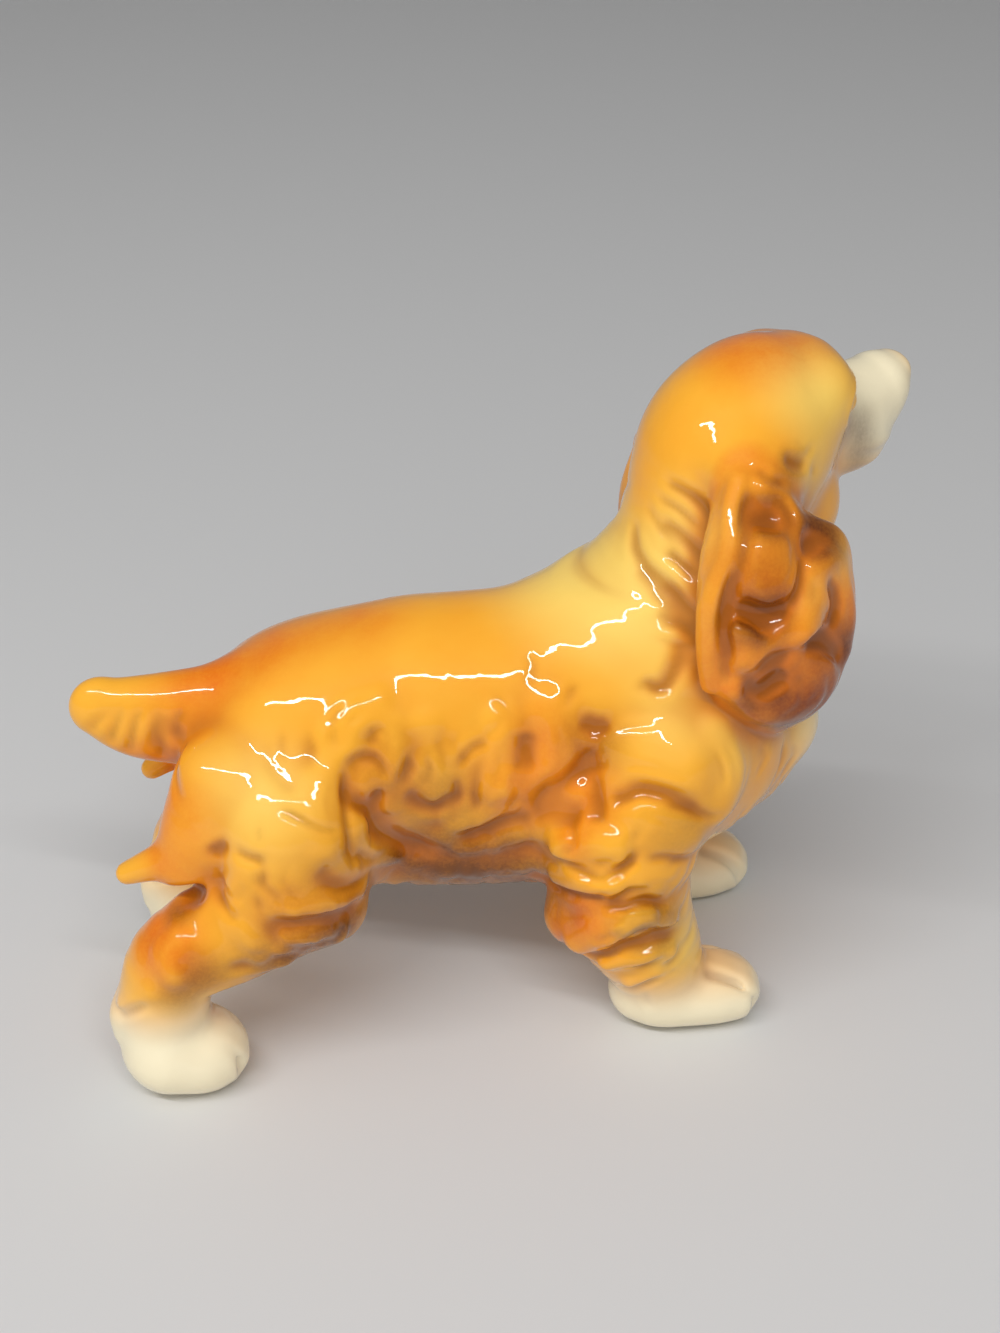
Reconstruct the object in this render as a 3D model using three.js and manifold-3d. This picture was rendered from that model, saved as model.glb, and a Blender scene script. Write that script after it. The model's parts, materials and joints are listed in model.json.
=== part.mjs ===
// Porcelain figurine of a cocker spaniel that stands on four paws with its head turned to its left.
// Millimetres and degrees. +X is the way the dog faces, +Y is its left and +Z is up.
// The origin lies on the surface it stands on, under the middle of its bounding box.
// The trunk, head, tail, legs and ears are cast by themselves and luted together with slip.

import * as THREE from "three";
import { mergeVertices } from "three/addons/utils/BufferGeometryUtils.js";
import Module from "manifold-3d";

// Trunk
const BACK_HEIGHT = 84.5;
const BACK_LENGTH = 50;
const CHEST_LENGTH = 70;
const CHEST_WIDTH = 43;
const CHEST_DEPTH = 56;
const LOIN_WIDTH = 39;
const LOIN_DEPTH = 48;
const RUMP_WIDTH = 39;
const RUMP_DEPTH = 40;
const RUMP_FALL = 5;
const BELLY_HEIGHT = 26.5;
const BREAST_REACH = 57.5;
const BREAST_WIDTH = 30;

// Neck and head
const NECK_THICKNESS = 34.4;
const NECK_LEAN = 10.5;
const HEAD_HEIGHT = 109.5;
const HEAD_REACH = 45;
const HEAD_SWING = 6;
const HEAD_TURN = 28;
const HEAD_NOD = 3;
const SKULL_LENGTH = 33.2;
const SKULL_WIDTH = 30;
const SKULL_HEIGHT = 31.2;
const MUZZLE_LENGTH = 20.4;
const MUZZLE_WIDTH = 16;
const NOSE_WIDTH = 7.6;
const EYE_SIZE = 5.2;

// Ears
const EAR_LENGTH = 35;
const EAR_WIDTH = 30;
const EAR_THICKNESS = 11;

// Tail
const TAIL_LENGTH = 25;
const TAIL_DEPTH = 16.6;
const TAIL_WIDTH = 11.6;
const TAIL_HEIGHT = 66;

// Legs and paws
const FORE_TRACK = 36;
const FORE_STANCE = 28;
const FORE_STEP = 9;
const FORELEG_THICKNESS = 24;
const LEFT_FOREPAW_OUT = 1.3;
const HIND_TRACK = 38;
const HIND_STANCE = -64;
const HIND_STEP = 6;
const HINDLEG_THICKNESS = 25;
const HOCK_HEIGHT = 27;
const PAW_LENGTH = 19;
const PAW_WIDTH = 15;
const PAW_HEIGHT = 13.4;

// Joints between the castings
const LUTE_GAP = 0.3;
const EAR_EDGE_ROUNDING = 2.4;
const NECK_JOINT_HEIGHT = 90;
const NECK_JOINT_FALL = 10;
const NECK_JOINT_RISE = 9;
const NECK_JOINT_REAR_RISE = 22;
const NECK_JOINT_SETBACK = 10;
const NECK_JOINT_SPAN = 60;
const TAIL_JOINT_REACH = -54;
const FORE_JOINT_HEIGHT = 26;
const FORE_JOINT_BACK = 26;
const HIND_JOINT_HEIGHT = 42;
const HIND_JOINT_FRONT = 37;
const JOINT_RISE = 36;
const BEYOND = 200;

// Sizes of the facets along, across and up: smaller where the relief is finer
const TRUNK_FACET = [3.6, 4, 3.6];
const HEAD_FACET = [2.7, 2.7, 2.7];
const TAIL_FACET = [3, 3, 3];
const LEG_FACET = [3.3, 3.5, 3.3];
const RIGHT_EAR_FACET = [2.1, 2.3, 2.1];
const LEFT_EAR_FACET = [2.8, 2.8, 2.8];

const DEGREE = Math.PI / 180;
const SIDES = { right: -1, left: 1 };

// Clay is a list of touches. Each touch has a box that it acts in, and says what it makes of the
// distance to the surface that is there already: lumps melt into it and strokes press it in.
const REACH = 3;
const EMPTY = 50;

function axesOf(yaw, pitch) {
  const [cy, sy] = [Math.cos(yaw * DEGREE), Math.sin(yaw * DEGREE)];
  const [cp, sp] = [Math.cos(pitch * DEGREE), Math.sin(pitch * DEGREE)];
  return [
    [cy * cp, sy * cp, sp],
    [-sy, cy, 0],
    [-cy * sp, -sy * sp, cp],
  ];
}

// Melting joins a lump to the clay that is there already, over the given width.
function melting(distance, melt) {
  return (there, x, y, z) => {
    const added = distance(x, y, z);
    if (melt === 0) {
      return Math.min(there, added);
    }
    const t = Math.min(1, Math.max(0, 0.5 + (0.5 * (added - there)) / melt));
    return added * (1 - t) + there * t - melt * t * (1 - t);
  };
}

// A swelling is an ellipsoid with half sizes along, across and up its own turned axes.
function swelling(centre, half, melt, yaw = 0, pitch = 0) {
  const axes = axesOf(yaw, pitch);
  const extent = [0, 1, 2].map((i) => Math.hypot(...axes.map((axis, j) => axis[i] * half[j])));
  const distance = (x, y, z) => {
    let first = 0;
    let second = 0;
    for (let j = 0; j < 3; j++) {
      const axis = axes[j];
      const q = (axis[0] * (x - centre[0]) + axis[1] * (y - centre[1]) + axis[2] * (z - centre[2])) / half[j];
      first += q * q;
      second += (q / half[j]) ** 2;
    }
    const k = Math.sqrt(first);
    return (k * (k - 1)) / Math.max(Math.sqrt(second), 1e-6);
  };
  return {
    change: melting(distance, melt),
    low: centre.map((c, i) => c - extent[i] - melt - REACH),
    high: centre.map((c, i) => c + extent[i] + melt + REACH),
  };
}

// A limb is a smooth chain of tapered rods through the given points. Its section is widened
// or flattened along the across direction.
function limb(stations, melt, widen = 1, across = [0, 1, 0]) {
  const smooth = new THREE.CatmullRomCurve3(stations.map((s) => new THREE.Vector3(s[0], s[1], s[2])));
  const radii = new THREE.SplineCurve(stations.map((s, i) => new THREE.Vector2(i, s[3])));
  const count = 5 * (stations.length - 1);
  const chain = [];
  for (let i = 0; i <= count; i++) {
    const p = smooth.getPoint(i / count);
    chain.push([p.x, p.y, p.z, radii.getPoint(i / count).y]);
  }
  const size = Math.hypot(...across);
  const side = across.map((a) => a / size);
  const fattest = Math.max(...chain.map((c) => c[3])) * Math.max(1, widen);
  const distance = (x, y, z) => {
    let nearest = Infinity;
    for (let i = 0; i < count; i++) {
      const [a, b] = [chain[i], chain[i + 1]];
      const [bx, by, bz] = [b[0] - a[0], b[1] - a[1], b[2] - a[2]];
      const [px, py, pz] = [x - a[0], y - a[1], z - a[2]];
      const along = (px * bx + py * by + pz * bz) / (bx * bx + by * by + bz * bz);
      const t = Math.min(1, Math.max(0, along));
      const e = [px - t * bx, py - t * by, pz - t * bz];
      const squeeze = (e[0] * side[0] + e[1] * side[1] + e[2] * side[2]) * (1 - 1 / widen);
      const d = Math.hypot(e[0] - squeeze * side[0], e[1] - squeeze * side[1], e[2] - squeeze * side[2]);
      nearest = Math.min(nearest, d - (a[3] + (b[3] - a[3]) * t));
    }
    return nearest;
  };
  const pad = fattest + melt + REACH;
  return {
    change: melting(distance, melt),
    low: [0, 1, 2].map((i) => Math.min(...chain.map((c) => c[i])) - pad),
    high: [0, 1, 2].map((i) => Math.max(...chain.map((c) => c[i])) + pad),
  };
}

// A stroke of the tool presses a hollow along a smooth line, shallower towards its ends.
function stroke(line, width, depth) {
  const curve = new THREE.CatmullRomCurve3(line.map((p) => new THREE.Vector3(...p)));
  const path = curve.getPoints(3 * (line.length - 1)).map((p) => [p.x, p.y, p.z]);
  const last = path.length - 1;
  const change = (there, x, y, z) => {
    let nearest = Infinity;
    let share = 0;
    for (let i = 0; i < last; i++) {
      const [a, b] = [path[i], path[i + 1]];
      const [bx, by, bz] = [b[0] - a[0], b[1] - a[1], b[2] - a[2]];
      const [px, py, pz] = [x - a[0], y - a[1], z - a[2]];
      const along = (px * bx + py * by + pz * bz) / (bx * bx + by * by + bz * bz);
      const t = Math.min(1, Math.max(0, along));
      const gap = (px - t * bx) ** 2 + (py - t * by) ** 2 + (pz - t * bz) ** 2;
      if (gap < nearest) {
        nearest = gap;
        share = (i + t) / last;
      }
    }
    const fade = 0.45 + 0.55 * Math.sqrt(4 * share * (1 - share));
    return there + depth * fade * Math.exp(-nearest / width ** 2);
  };
  const pad = 3 * width;
  return {
    change,
    low: [0, 1, 2].map((i) => Math.min(...path.map((p) => p[i])) - pad),
    high: [0, 1, 2].map((i) => Math.max(...path.map((p) => p[i])) + pad),
  };
}

// Distance from the clay's surface, negative inside it
function clayDistance(touches, x, y, z) {
  let there = EMPTY;
  for (const { low, high, change } of touches) {
    if (x < low[0] || y < low[1] || z < low[2] || x > high[0] || y > high[1] || z > high[2]) {
      continue;
    }
    there = change(there, x, y, z);
  }
  return there;
}

function slope(distance, [x, y, z]) {
  const e = 0.2;
  return [
    (distance(x + e, y, z) - distance(x - e, y, z)) / (2 * e),
    (distance(x, y + e, z) - distance(x, y - e, z)) / (2 * e),
    (distance(x, y, z + e) - distance(x, y, z - e)) / (2 * e),
  ];
}

// Where the surface lies at a point of the side view, coming from outside, or null off the clay
function skinAt(touches, x, z, side) {
  const inside = (out) => clayDistance(touches, x, side * out, z) < 0;
  for (let out = EMPTY; out > 1; out--) {
    if (inside(out)) {
      let [under, over] = [out, out + 1];
      while (over - under > 0.01) {
        const middle = (under + over) / 2;
        if (inside(middle)) {
          under = middle;
        } else {
          over = middle;
        }
      }
      return side * under;
    }
  }
  return null;
}

// A lock of hair is a roll of clay laid on one side: [how proud it stands, how it melts in,
// then forward, up and radius of each point, as seen from the side and counted from a corner].
function addLocks(touches, locks, side, [fromX, fromZ]) {
  const distance = (x, y, z) => clayDistance(touches, x, y, z);
  for (const [proud, melt, ...stations] of locks) {
    const roll = [];
    for (const [forward, up, radius] of stations) {
      const [x, z] = [fromX + forward, fromZ + up];
      const y = skinAt(touches, x, z, side);
      if (y !== null) {
        const out = slope(distance, [x, y, z]);
        const sink = (radius - proud) / Math.hypot(...out);
        roll.push([x - sink * out[0], y - sink * out[1], z - sink * out[2], radius]);
      }
    }
    if (roll.length > 1) {
      touches.push(limb(roll, melt));
    }
  }
}

// Creases between the locks: [width, depth, then forward and up of each point]
function addCreases(touches, creases, side, [fromX, fromZ]) {
  for (const [width, depth, ...places] of creases) {
    const line = [];
    for (const [forward, up] of places) {
      const [x, z] = [fromX + forward, fromZ + up];
      const y = skinAt(touches, x, z, side);
      if (y !== null) {
        line.push([x, y, z]);
      }
    }
    if (line.length > 1) {
      touches.push(stroke(line, width, depth));
    }
  }
}

// Modelling the trunk
const CHEST = [15, 0, BACK_HEIGHT - CHEST_DEPTH / 2];
const RUMP_REACH = CHEST[0] - BACK_LENGTH;

function modelTrunk() {
  const loinX = CHEST[0] - 0.58 * BACK_LENGTH;
  const rumpHeight = BACK_HEIGHT - RUMP_FALL - RUMP_DEPTH / 2;
  const touches = [
    swelling(CHEST, [CHEST_LENGTH / 2, CHEST_WIDTH / 2, CHEST_DEPTH / 2], 0, 0, 1),
    swelling([loinX, 0, BACK_HEIGHT - 0.5 - LOIN_DEPTH / 2], [32, LOIN_WIDTH / 2, LOIN_DEPTH / 2], 8),
    swelling([RUMP_REACH, 0, rumpHeight], [20.5, RUMP_WIDTH / 2, RUMP_DEPTH / 2], 8),
    limb([
      [loinX - 13, 0, BELLY_HEIGHT + 13, 10.5],
      [loinX + 6, 0, BELLY_HEIGHT + 12.5, 12.2],
      [CHEST[0] - 3, 0, BELLY_HEIGHT + 12, 12.4],
    ], 6, 1.25),
    swelling([BREAST_REACH - 16, 1, 52], [16, BREAST_WIDTH / 2, 17], 8),
    swelling([CHEST[0] + 6, 0, BACK_HEIGHT - 14], [18, 13, 12], 8, 0, 12),
    swelling([BREAST_REACH - 5, -3, 56], [6.5, 8, 8], 4),
  ];
  for (const side of Object.values(SIDES)) {
    touches.push(swelling([CHEST[0] + 17, side * 0.3 * CHEST_WIDTH, 57], [16, 10, 20], 6, 0, -18));
    touches.push(swelling([RUMP_REACH - 6, side * 0.32 * RUMP_WIDTH, 47], [16.5, 9.5, 19], 6, 0, 12));
  }
  return touches;
}

// The wavy coat of the flank, counted from the top of the back over the middle of the chest
const FLANK_LOCKS = [
  [1.2, 4, [-31, -13, 5], [-30, -20, 6], [-29, -27, 5]],
  [1.4, 4, [-18, -26, 5], [-22, -33, 6], [-27, -39, 5]],
  [1.2, 4, [-44, -29, 4], [-41, -36, 5], [-36, -42, 4]],
  [1.4, 4, [-10, -9, 6], [-8, -17, 7], [-10, -24, 6]],
  [1.2, 4, [1, -18, 7], [7, -18, 8.5], [14, -21, 7]],
  [1.2, 4, [19, -16, 6], [22, -24, 7], [20, -32, 6]],
];
const FLANK_CREASES = [
  [3.4, 1.8, [-36, -23], [-33, -29], [-28, -30], [-25, -25]],
  [3.6, 2.2, [-42, -25], [-40, -32], [-37, -38], [-29, -43]],
  [3.4, 1.6, [-26, -40], [-19, -37], [-10, -33], [-5, -32]],
  [3.4, 2, [-3, -12], [-2, -18], [-5, -24], [-15, -28]],
  [3.4, 1.8, [-1, -28], [6, -26], [14, -29]],
];

function combFlank(touches, side) {
  addLocks(touches, FLANK_LOCKS, side, [CHEST[0], BACK_HEIGHT]);
  addCreases(touches, FLANK_CREASES, side, [CHEST[0], BACK_HEIGHT]);
}

// The head is modelled in its own turned axes: forward along the muzzle, to its left, and up.
const HEAD = [HEAD_REACH, HEAD_SWING, HEAD_HEIGHT];
const HEAD_AXES = axesOf(HEAD_TURN, HEAD_NOD);

function inHead(forward, left, up) {
  return HEAD.map((h, i) => h + forward * HEAD_AXES[0][i] + left * HEAD_AXES[1][i] + up * HEAD_AXES[2][i]);
}

function headSwelling(place, half, melt, nod = 0) {
  return swelling(inHead(...place), half, melt, HEAD_TURN, HEAD_NOD + nod);
}

function modelNeck() {
  const root = [HEAD_REACH - 4.5 - 1.5 * NECK_LEAN + 0.25, 0, BACK_HEIGHT - 14.5];
  const half = NECK_THICKNESS / 2;
  return [
    limb([
      [...root, half + 3.3],
      [root[0] + NECK_LEAN, 1, HEAD_HEIGHT - 23.5, half],
      [HEAD_REACH - 4.5, HEAD_SWING - 2, HEAD_HEIGHT - 5.5, half - 1.7],
    ], 9),
  ];
}

// Waves down the side of the neck, counted from the middle of the head
const NECK_CREASES = [
  [3, 1.5, [-20, -7], [-17, -9], [-15, -11]],
  [3, 1.4, [-24, -16], [-20, -18], [-16, -21]],
  [3, 1.3, [-25, -34], [-21, -34], [-18, -30]],
];

function modelHead() {
  const stop = SKULL_LENGTH / 2 - 6.6;
  const tip = stop + MUZZLE_LENGTH;
  const touches = [
    headSwelling([1.6, 0, 1.7], [SKULL_LENGTH / 2, SKULL_WIDTH / 2, SKULL_HEIGHT / 2], 5),
    headSwelling([-5, 0, -2.5], [14.5, SKULL_WIDTH / 2 - 0.5, 15.5], 5),
    headSwelling([stop + 2, 4.5, 6.4], [6.2, 7.4, 6], 4),
    limb([
      [...inHead(stop, 0, -2), MUZZLE_WIDTH / 2 + 1.5],
      [...inHead(stop + 0.6 * MUZZLE_LENGTH, 0, -2.6), MUZZLE_WIDTH / 2 + 0.2],
      [...inHead(tip, 0, -2.5), MUZZLE_WIDTH / 2 - 0.5],
    ], 3, 0.95, HEAD_AXES[1]),
    headSwelling([6.5, 0, -17.5], [11.5, 8, 10.5], 4),
    headSwelling([7, -5, -15], [9, 7, 10], 4),
  ];
  for (const side of Object.values(SIDES)) {
    touches.push(headSwelling([tip - 8.9, side * 3.6, -7.8], [9.5, 4.8, 5.8], 3, -4));
    touches.push(headSwelling([stop, side * 8, 7.2], [5.8, 5, 5.4], 4));
    touches.push(headSwelling([stop + 3.4, side * 8.6, 4.2], new Array(3).fill(EYE_SIZE / 2), 0.8));
    const mouth = [[tip + 6, 2.5, -9], [tip, 6.6, -10.5], [tip - 12, 9.4, -8]];
    touches.push(stroke(mouth.map(([forward, out, up]) => inHead(forward, side * out, up)), 2, 1.2));
  }
  touches.push(headSwelling([tip + 5.8, 0, 1.2], [3, NOSE_WIDTH / 2, 2.6], 1.5));
  return touches;
}

// The ears hang in thick curls: a rope down the back edge, a second rope across, round lobes and
// deep pockets between them, counted from the root of the ear.
const EAR_LOCKS = [
  [1.6, 2, [-7, 3, 2.5], [-11, -3, 3], [-13, -10, 3], [-14.5, -20, 3], [-13, -30, 3]],
  [1.2, 2, [-8, 1, 2.5], [-4, 1, 3], [1, -4, 2.5]],
  [2.6, 2, [-7.5, -8.5, 4.5], [-5, -9, 5.5]],
  [2, 2, [-11, -21, 4], [-9, -22.5, 3.5]],
  [2.4, 2, [5, -8, 3.5], [4.5, -13, 4], [2, -17.5, 4], [-4, -24, 3.5], [-10, -31, 3]],
  [1.4, 2, [10, -9, 2.5], [13, -18, 3], [12.5, -28, 3]],
  [2.2, 2, [3.5, -27, 4.5], [7, -31, 6], [5, -35.5, 6]],
  [1.2, 2, [7, -39, 3.5], [1, -39, 3.5], [-8, -34, 3]],
];
const EAR_CREASES = [
  [2.6, 1.8, [-8, -2], [-5, -2.5], [-2, -4]],
  [2.8, 2.2, [-10, -14.5], [-6, -16], [-3, -15.5]],
  [2.6, 1.8, [2.5, -5], [5.5, -5], [8, -7]],
  [2.6, 2, [8.5, -16], [8.5, -21], [6.5, -23.5]],
  [2.6, 1.8, [-1, -26.5], [-3, -30], [-7, -32]],
];

function combEar(touches, side, root) {
  addLocks(touches, EAR_LOCKS, side, root);
  addCreases(touches, EAR_CREASES, side, root);
  return touches;
}

function modelRightEar() {
  const flat = EAR_THICKNESS / (EAR_WIDTH - 4);
  const rootZ = HEAD_HEIGHT - 2.5;
  const curl = EAR_THICKNESS / 2;
  const touches = [
    swelling([HEAD_REACH - 2.5, -8.5, rootZ - 0.5], [6.5, 5, 7], 4),
    limb([
      [HEAD_REACH - 4.5, -10.5, rootZ - 0.5, 6.5],
      [HEAD_REACH - 4, -16.5, rootZ - 0.35 * EAR_LENGTH, EAR_WIDTH / 2 - 3.5],
      [HEAD_REACH - 1, -19, rootZ - 0.72 * EAR_LENGTH, EAR_WIDTH / 2 - 1],
      [HEAD_REACH + 1, -17.5, rootZ - EAR_LENGTH + 1, EAR_WIDTH / 2 - 5],
    ], 2, flat, [0.28, -0.96, 0]),
    swelling([HEAD_REACH + 3.5, -15.5, rootZ - 13.5], [10.3, curl - 1, 9], 3, 16),
    swelling([HEAD_REACH + 1.3, -16, rootZ - 23.5], [EAR_WIDTH / 2 - 0.4, curl - 0.5, 15], 3, 16),
    swelling([HEAD_REACH + 1, -16, rootZ - EAR_LENGTH - 0.5], [10, curl + 0.5, 9], 3, 16),
  ];
  return combEar(touches, SIDES.right, [HEAD_REACH, rootZ]);
}

function modelLeftEar() {
  const flat = EAR_THICKNESS / (EAR_WIDTH - 4);
  const touches = [
    limb([
      [...inHead(1, SKULL_WIDTH / 2 - 3, -1), 7.5],
      [...inHead(-1, SKULL_WIDTH / 2 + 2, -0.4 * EAR_LENGTH), EAR_WIDTH / 2 - 4.5],
      [...inHead(-1, SKULL_WIDTH / 2 + 3.5, -0.8 * EAR_LENGTH), EAR_WIDTH / 2 - 3],
      [...inHead(1, SKULL_WIDTH / 2 + 3, -1.08 * EAR_LENGTH), EAR_WIDTH / 2 - 6],
    ], 2, flat, HEAD_AXES[1]),
  ];
  const [rootX, , rootZ] = inHead(3, SKULL_WIDTH / 2 + 7.5, -1);
  return combEar(touches, SIDES.left, [rootX, rootZ]);
}

function modelTail() {
  const root = TAIL_JOINT_REACH - 3;
  const half = TAIL_DEPTH / 2;
  return [
    limb([
      [root + 11, 0, TAIL_HEIGHT - 0.5, half + 1.7],
      [root, 0, TAIL_HEIGHT + 0.3, half],
      [root - 0.38 * TAIL_LENGTH, 0, TAIL_HEIGHT + 1.8, half - 1.8],
      [root - TAIL_LENGTH + 11.2, 0, TAIL_HEIGHT + 3.2, half - 2.6],
    ], 4, TAIL_WIDTH / TAIL_DEPTH),
    swelling([root - 3, 0, TAIL_HEIGHT - 3.1], [10.5, TAIL_WIDTH / 2 - 1.5, 5.3], 3, 0, -10),
  ];
}

// Legs: step is how far the paw stands ahead of its fellow's.
function modelForeleg(side, step) {
  const paw = FORE_STANCE + step;
  const middle = (side * FORE_TRACK) / 2;
  const y = middle + (side > 0 ? LEFT_FOREPAW_OUT : 0);
  const half = FORELEG_THICKNESS / 2;
  const sole = PAW_HEIGHT / 2;
  return [
    limb([
      [26 + 0.3 * step, side * 15, 56, half + 3],
      [19.5 + 0.6 * step, middle, 44, half + 1],
      [paw - 7.7, middle, 29, half],
      [paw - 2.4, y, 16, half - 2.5],
      [paw, y, 8, PAW_WIDTH / 2 - 0.5],
    ], 4),
    limb([
      [paw - 4, y - side, sole - 0.3, sole - 0.7],
      [paw, y, sole - 0.1, sole + 0.2],
      [paw + PAW_LENGTH - 10.5, y + 0.4 * side, sole - 0.4, sole + 0.3],
      [paw + PAW_LENGTH - 6.5, y + 0.8 * side, sole - 0.9, sole - 0.5],
    ], 2.5, PAW_WIDTH / PAW_HEIGHT),
    swelling([paw - 17.5 - 0.4 * step, middle, 47.5], [8, 6.5, 6.5], 3),
    swelling([paw - 15.5, middle, 27], [7.5, 6, 7], 3),
  ];
}

// Feathering of the foreleg in overlapping tufts, counted from the ground under the wrist
const FORELEG_LOCKS = [
  [2, 2.5, [-13, 50, 4.5], [-17.5, 49, 6], [-20.5, 46.5, 4.5]],
  [1.8, 2.5, [-13, 42, 4], [-18, 41, 4.5], [-21, 39, 3.5]],
  [2, 2.5, [-8, 36, 4], [-13.5, 32, 5.5], [-18, 27, 4.5]],
  [1.3, 2, [-2, 24, 3], [-8.5, 24, 3.5], [-13, 21, 3]],
];
const FORELEG_CREASES = [
  [2.8, 1.6, [-23, 45], [-16, 44], [-9, 48]],
  [2.8, 1.5, [-14, 37], [-9, 38], [-4, 36], [0, 34]],
  [2.8, 1.5, [-14, 25], [-9, 28], [-1, 27]],
];

function combForeleg(touches, side, step) {
  addLocks(touches, FORELEG_LOCKS, side, [FORE_STANCE + step, 0]);
  addCreases(touches, FORELEG_CREASES, side, [FORE_STANCE + step, 0]);
}

function modelHindleg(side, step) {
  const heel = HIND_STANCE + step;
  const y = (side * HIND_TRACK) / 2;
  const half = HINDLEG_THICKNESS / 2;
  const sole = PAW_HEIGHT / 2;
  const ahead = 0.83 * step;
  const above = 0.42 * step;
  return [
    limb([
      [-40 + 0.3 * step, side * 15, 52, half + 1.5],
      [-41 + step, y - 2 * side, 41, half],
      [heel + 14, y - side, HOCK_HEIGHT + 6, half - 2.4],
      [heel + 2.5, y, HOCK_HEIGHT, half - 3.9],
      [heel - 0.6, y, 16, PAW_WIDTH / 2 + 0.5],
      [heel - 0.6, y, 9, PAW_WIDTH / 2 + 0.7],
    ], 4),
    limb([
      [heel, y + 0.5 * side, sole + 1.3, sole + 1.5],
      [heel + PAW_LENGTH - 14, y + 0.8 * side, sole + 0.1, sole + 1],
      [heel + PAW_LENGTH - 12, y + 0.8 * side, sole - 0.4, sole + 0.1],
    ], 2.5, PAW_WIDTH / PAW_HEIGHT),
    swelling([-37 + step, side * 17, 34.5], [10, 7.5, 7.5], 3, 0, -15),
    limb([
      [heel - 2, y, 21, 4.8],
      [heel - 7, y, 17, 3.2],
      [heel - 8.3, y, 12.5, 1.8],
    ], 2),
    limb([
      [heel + 13 - step + ahead, side * 12, 60, 8],
      [heel + 9 - step + ahead, side * 14.5, 52 + above, 7],
      [heel + 5.8 - step + ahead, side * 15.5, 46.5 + above, 5.2],
    ], 3),
    limb([
      [heel + 7 - step + ahead, side * 16, 48.5 + above, 4.2],
      [heel + 1 - step + ahead, side * 15.5, 46.2 + above, 3.1],
      [heel - 4.4 - step + ahead, side * 14.2, 43.6 + above, 2.1],
    ], 1.6),
  ];
}

// Feathering of the thigh and hock, counted from the ground under the heel
const HINDLEG_LOCKS = [
  [1, 3, [32, 67, 4], [29, 61, 5], [30, 54, 4]],
  [0.8, 3, [22, 70, 5], [19, 64, 5], [20, 57, 5]],
  [1.2, 3, [35, 41, 4], [29, 43, 4.5], [23, 43, 4]],
  [1.2, 2.5, [31, 33, 3.5], [26, 35, 4], [21, 36, 3.5]],
  [1.3, 2.5, [3.5, 36, 4], [1.5, 33.5, 4.5], [2, 30.5, 3.5]],
];
const HINDLEG_CREASES = [
  [3.2, 2, [28, 51], [30, 47], [37, 43]],
  [3, 1.8, [17, 38], [25, 41], [33, 38]],
  [3, 2.2, [0, 40.5], [3.5, 39.5], [7, 41]],
  [3, 1.5, [12, 45], [13, 44], [16, 49]],
];

function combHindleg(touches, side, step) {
  addLocks(touches, HINDLEG_LOCKS, side, [HIND_STANCE + step, 0]);
  addCreases(touches, HINDLEG_CREASES, side, [HIND_STANCE + step, 0]);
}

// Clay that is fitted over a seat keeps clear of it by the luting gap, and its edge is rounded.
function fittedOver(seat, touches, rounding) {
  return (x, y, z) => {
    const own = clayDistance(touches, x, y, z);
    const seated = LUTE_GAP - clayDistance(seat, x, y, z);
    const t = Math.min(1, Math.max(0, 0.5 + (0.5 * (own - seated)) / rounding));
    return own * t + seated * (1 - t) + rounding * t * (1 - t);
  };
}

// Faceting: one point in each cell that the surface crosses, joined to its neighbours and
// then moved onto the surface. The surface lies between the low and the high corner.
const cellCorners = [0, 1, 2, 3, 4, 5, 6, 7].map((c) => [c & 1, (c >> 1) & 1, c >> 2]);

function facet(distance, from, to, size) {
  const low = from.map((f, i) => size[i] * (Math.floor(f / size[i]) - 1));
  const [nx, ny, nz] = low.map((l, i) => Math.ceil((to[i] - l) / size[i]) + 2);
  const value = new Float64Array(nx * ny * nz);
  const at = (i, j, k) => i + nx * (j + ny * k);
  for (let k = 0; k < nz; k++) {
    for (let j = 0; j < ny; j++) {
      for (let i = 0; i < nx; i++) {
        value[at(i, j, k)] = distance(low[0] + i * size[0], low[1] + j * size[1], low[2] + k * size[2]);
      }
    }
  }
  const pointsOf = new Map();
  const points = [];
  for (let k = 0; k < nz - 1; k++) {
    for (let j = 0; j < ny - 1; j++) {
      for (let i = 0; i < nx - 1; i++) {
        const corner = cellCorners.map(([a, b, c]) => value[at(i + a, j + b, k + c)]);
        if (corner.every((v) => v < 0) || corner.every((v) => v >= 0)) {
          continue;
        }
        const lumps = lumpsOf(corner);
        const numbers = new Array(8);
        for (const lump of lumps) {
          const centre = crossingCentre(corner, lump);
          const place = [i, j, k].map((cell, axis) => low[axis] + size[axis] * (cell + centre[axis]));
          for (const c of lump) {
            numbers[c] = points.length;
          }
          points.push(ontoSurface(distance, place, 0.2 * Math.min(...size)));
        }
        pointsOf.set(at(i, j, k), numbers);
      }
    }
  }
  const faces = [];
  const step = [1, nx, nx * ny];
  for (let k = 1; k < nz - 1; k++) {
    for (let j = 1; j < ny - 1; j++) {
      for (let i = 1; i < nx - 1; i++) {
        const here = at(i, j, k);
        const inside = value[here] < 0;
        for (let axis = 0; axis < 3; axis++) {
          if (inside === value[here + step[axis]] < 0) {
            continue;
          }
          const [one, other] = [(axis + 1) % 3, (axis + 2) % 3];
          const far = inside ? 0 : 1 << axis;
          const ring = [[1, 1], [0, 1], [0, 0], [1, 0]].map(([a, b]) => {
            const cell = here - a * step[one] - b * step[other];
            return pointsOf.get(cell)[far | (a << one) | (b << other)];
          });
          addQuad(faces, points, inside ? ring : ring.reverse());
        }
      }
    }
  }
  return { points, faces };
}

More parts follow.
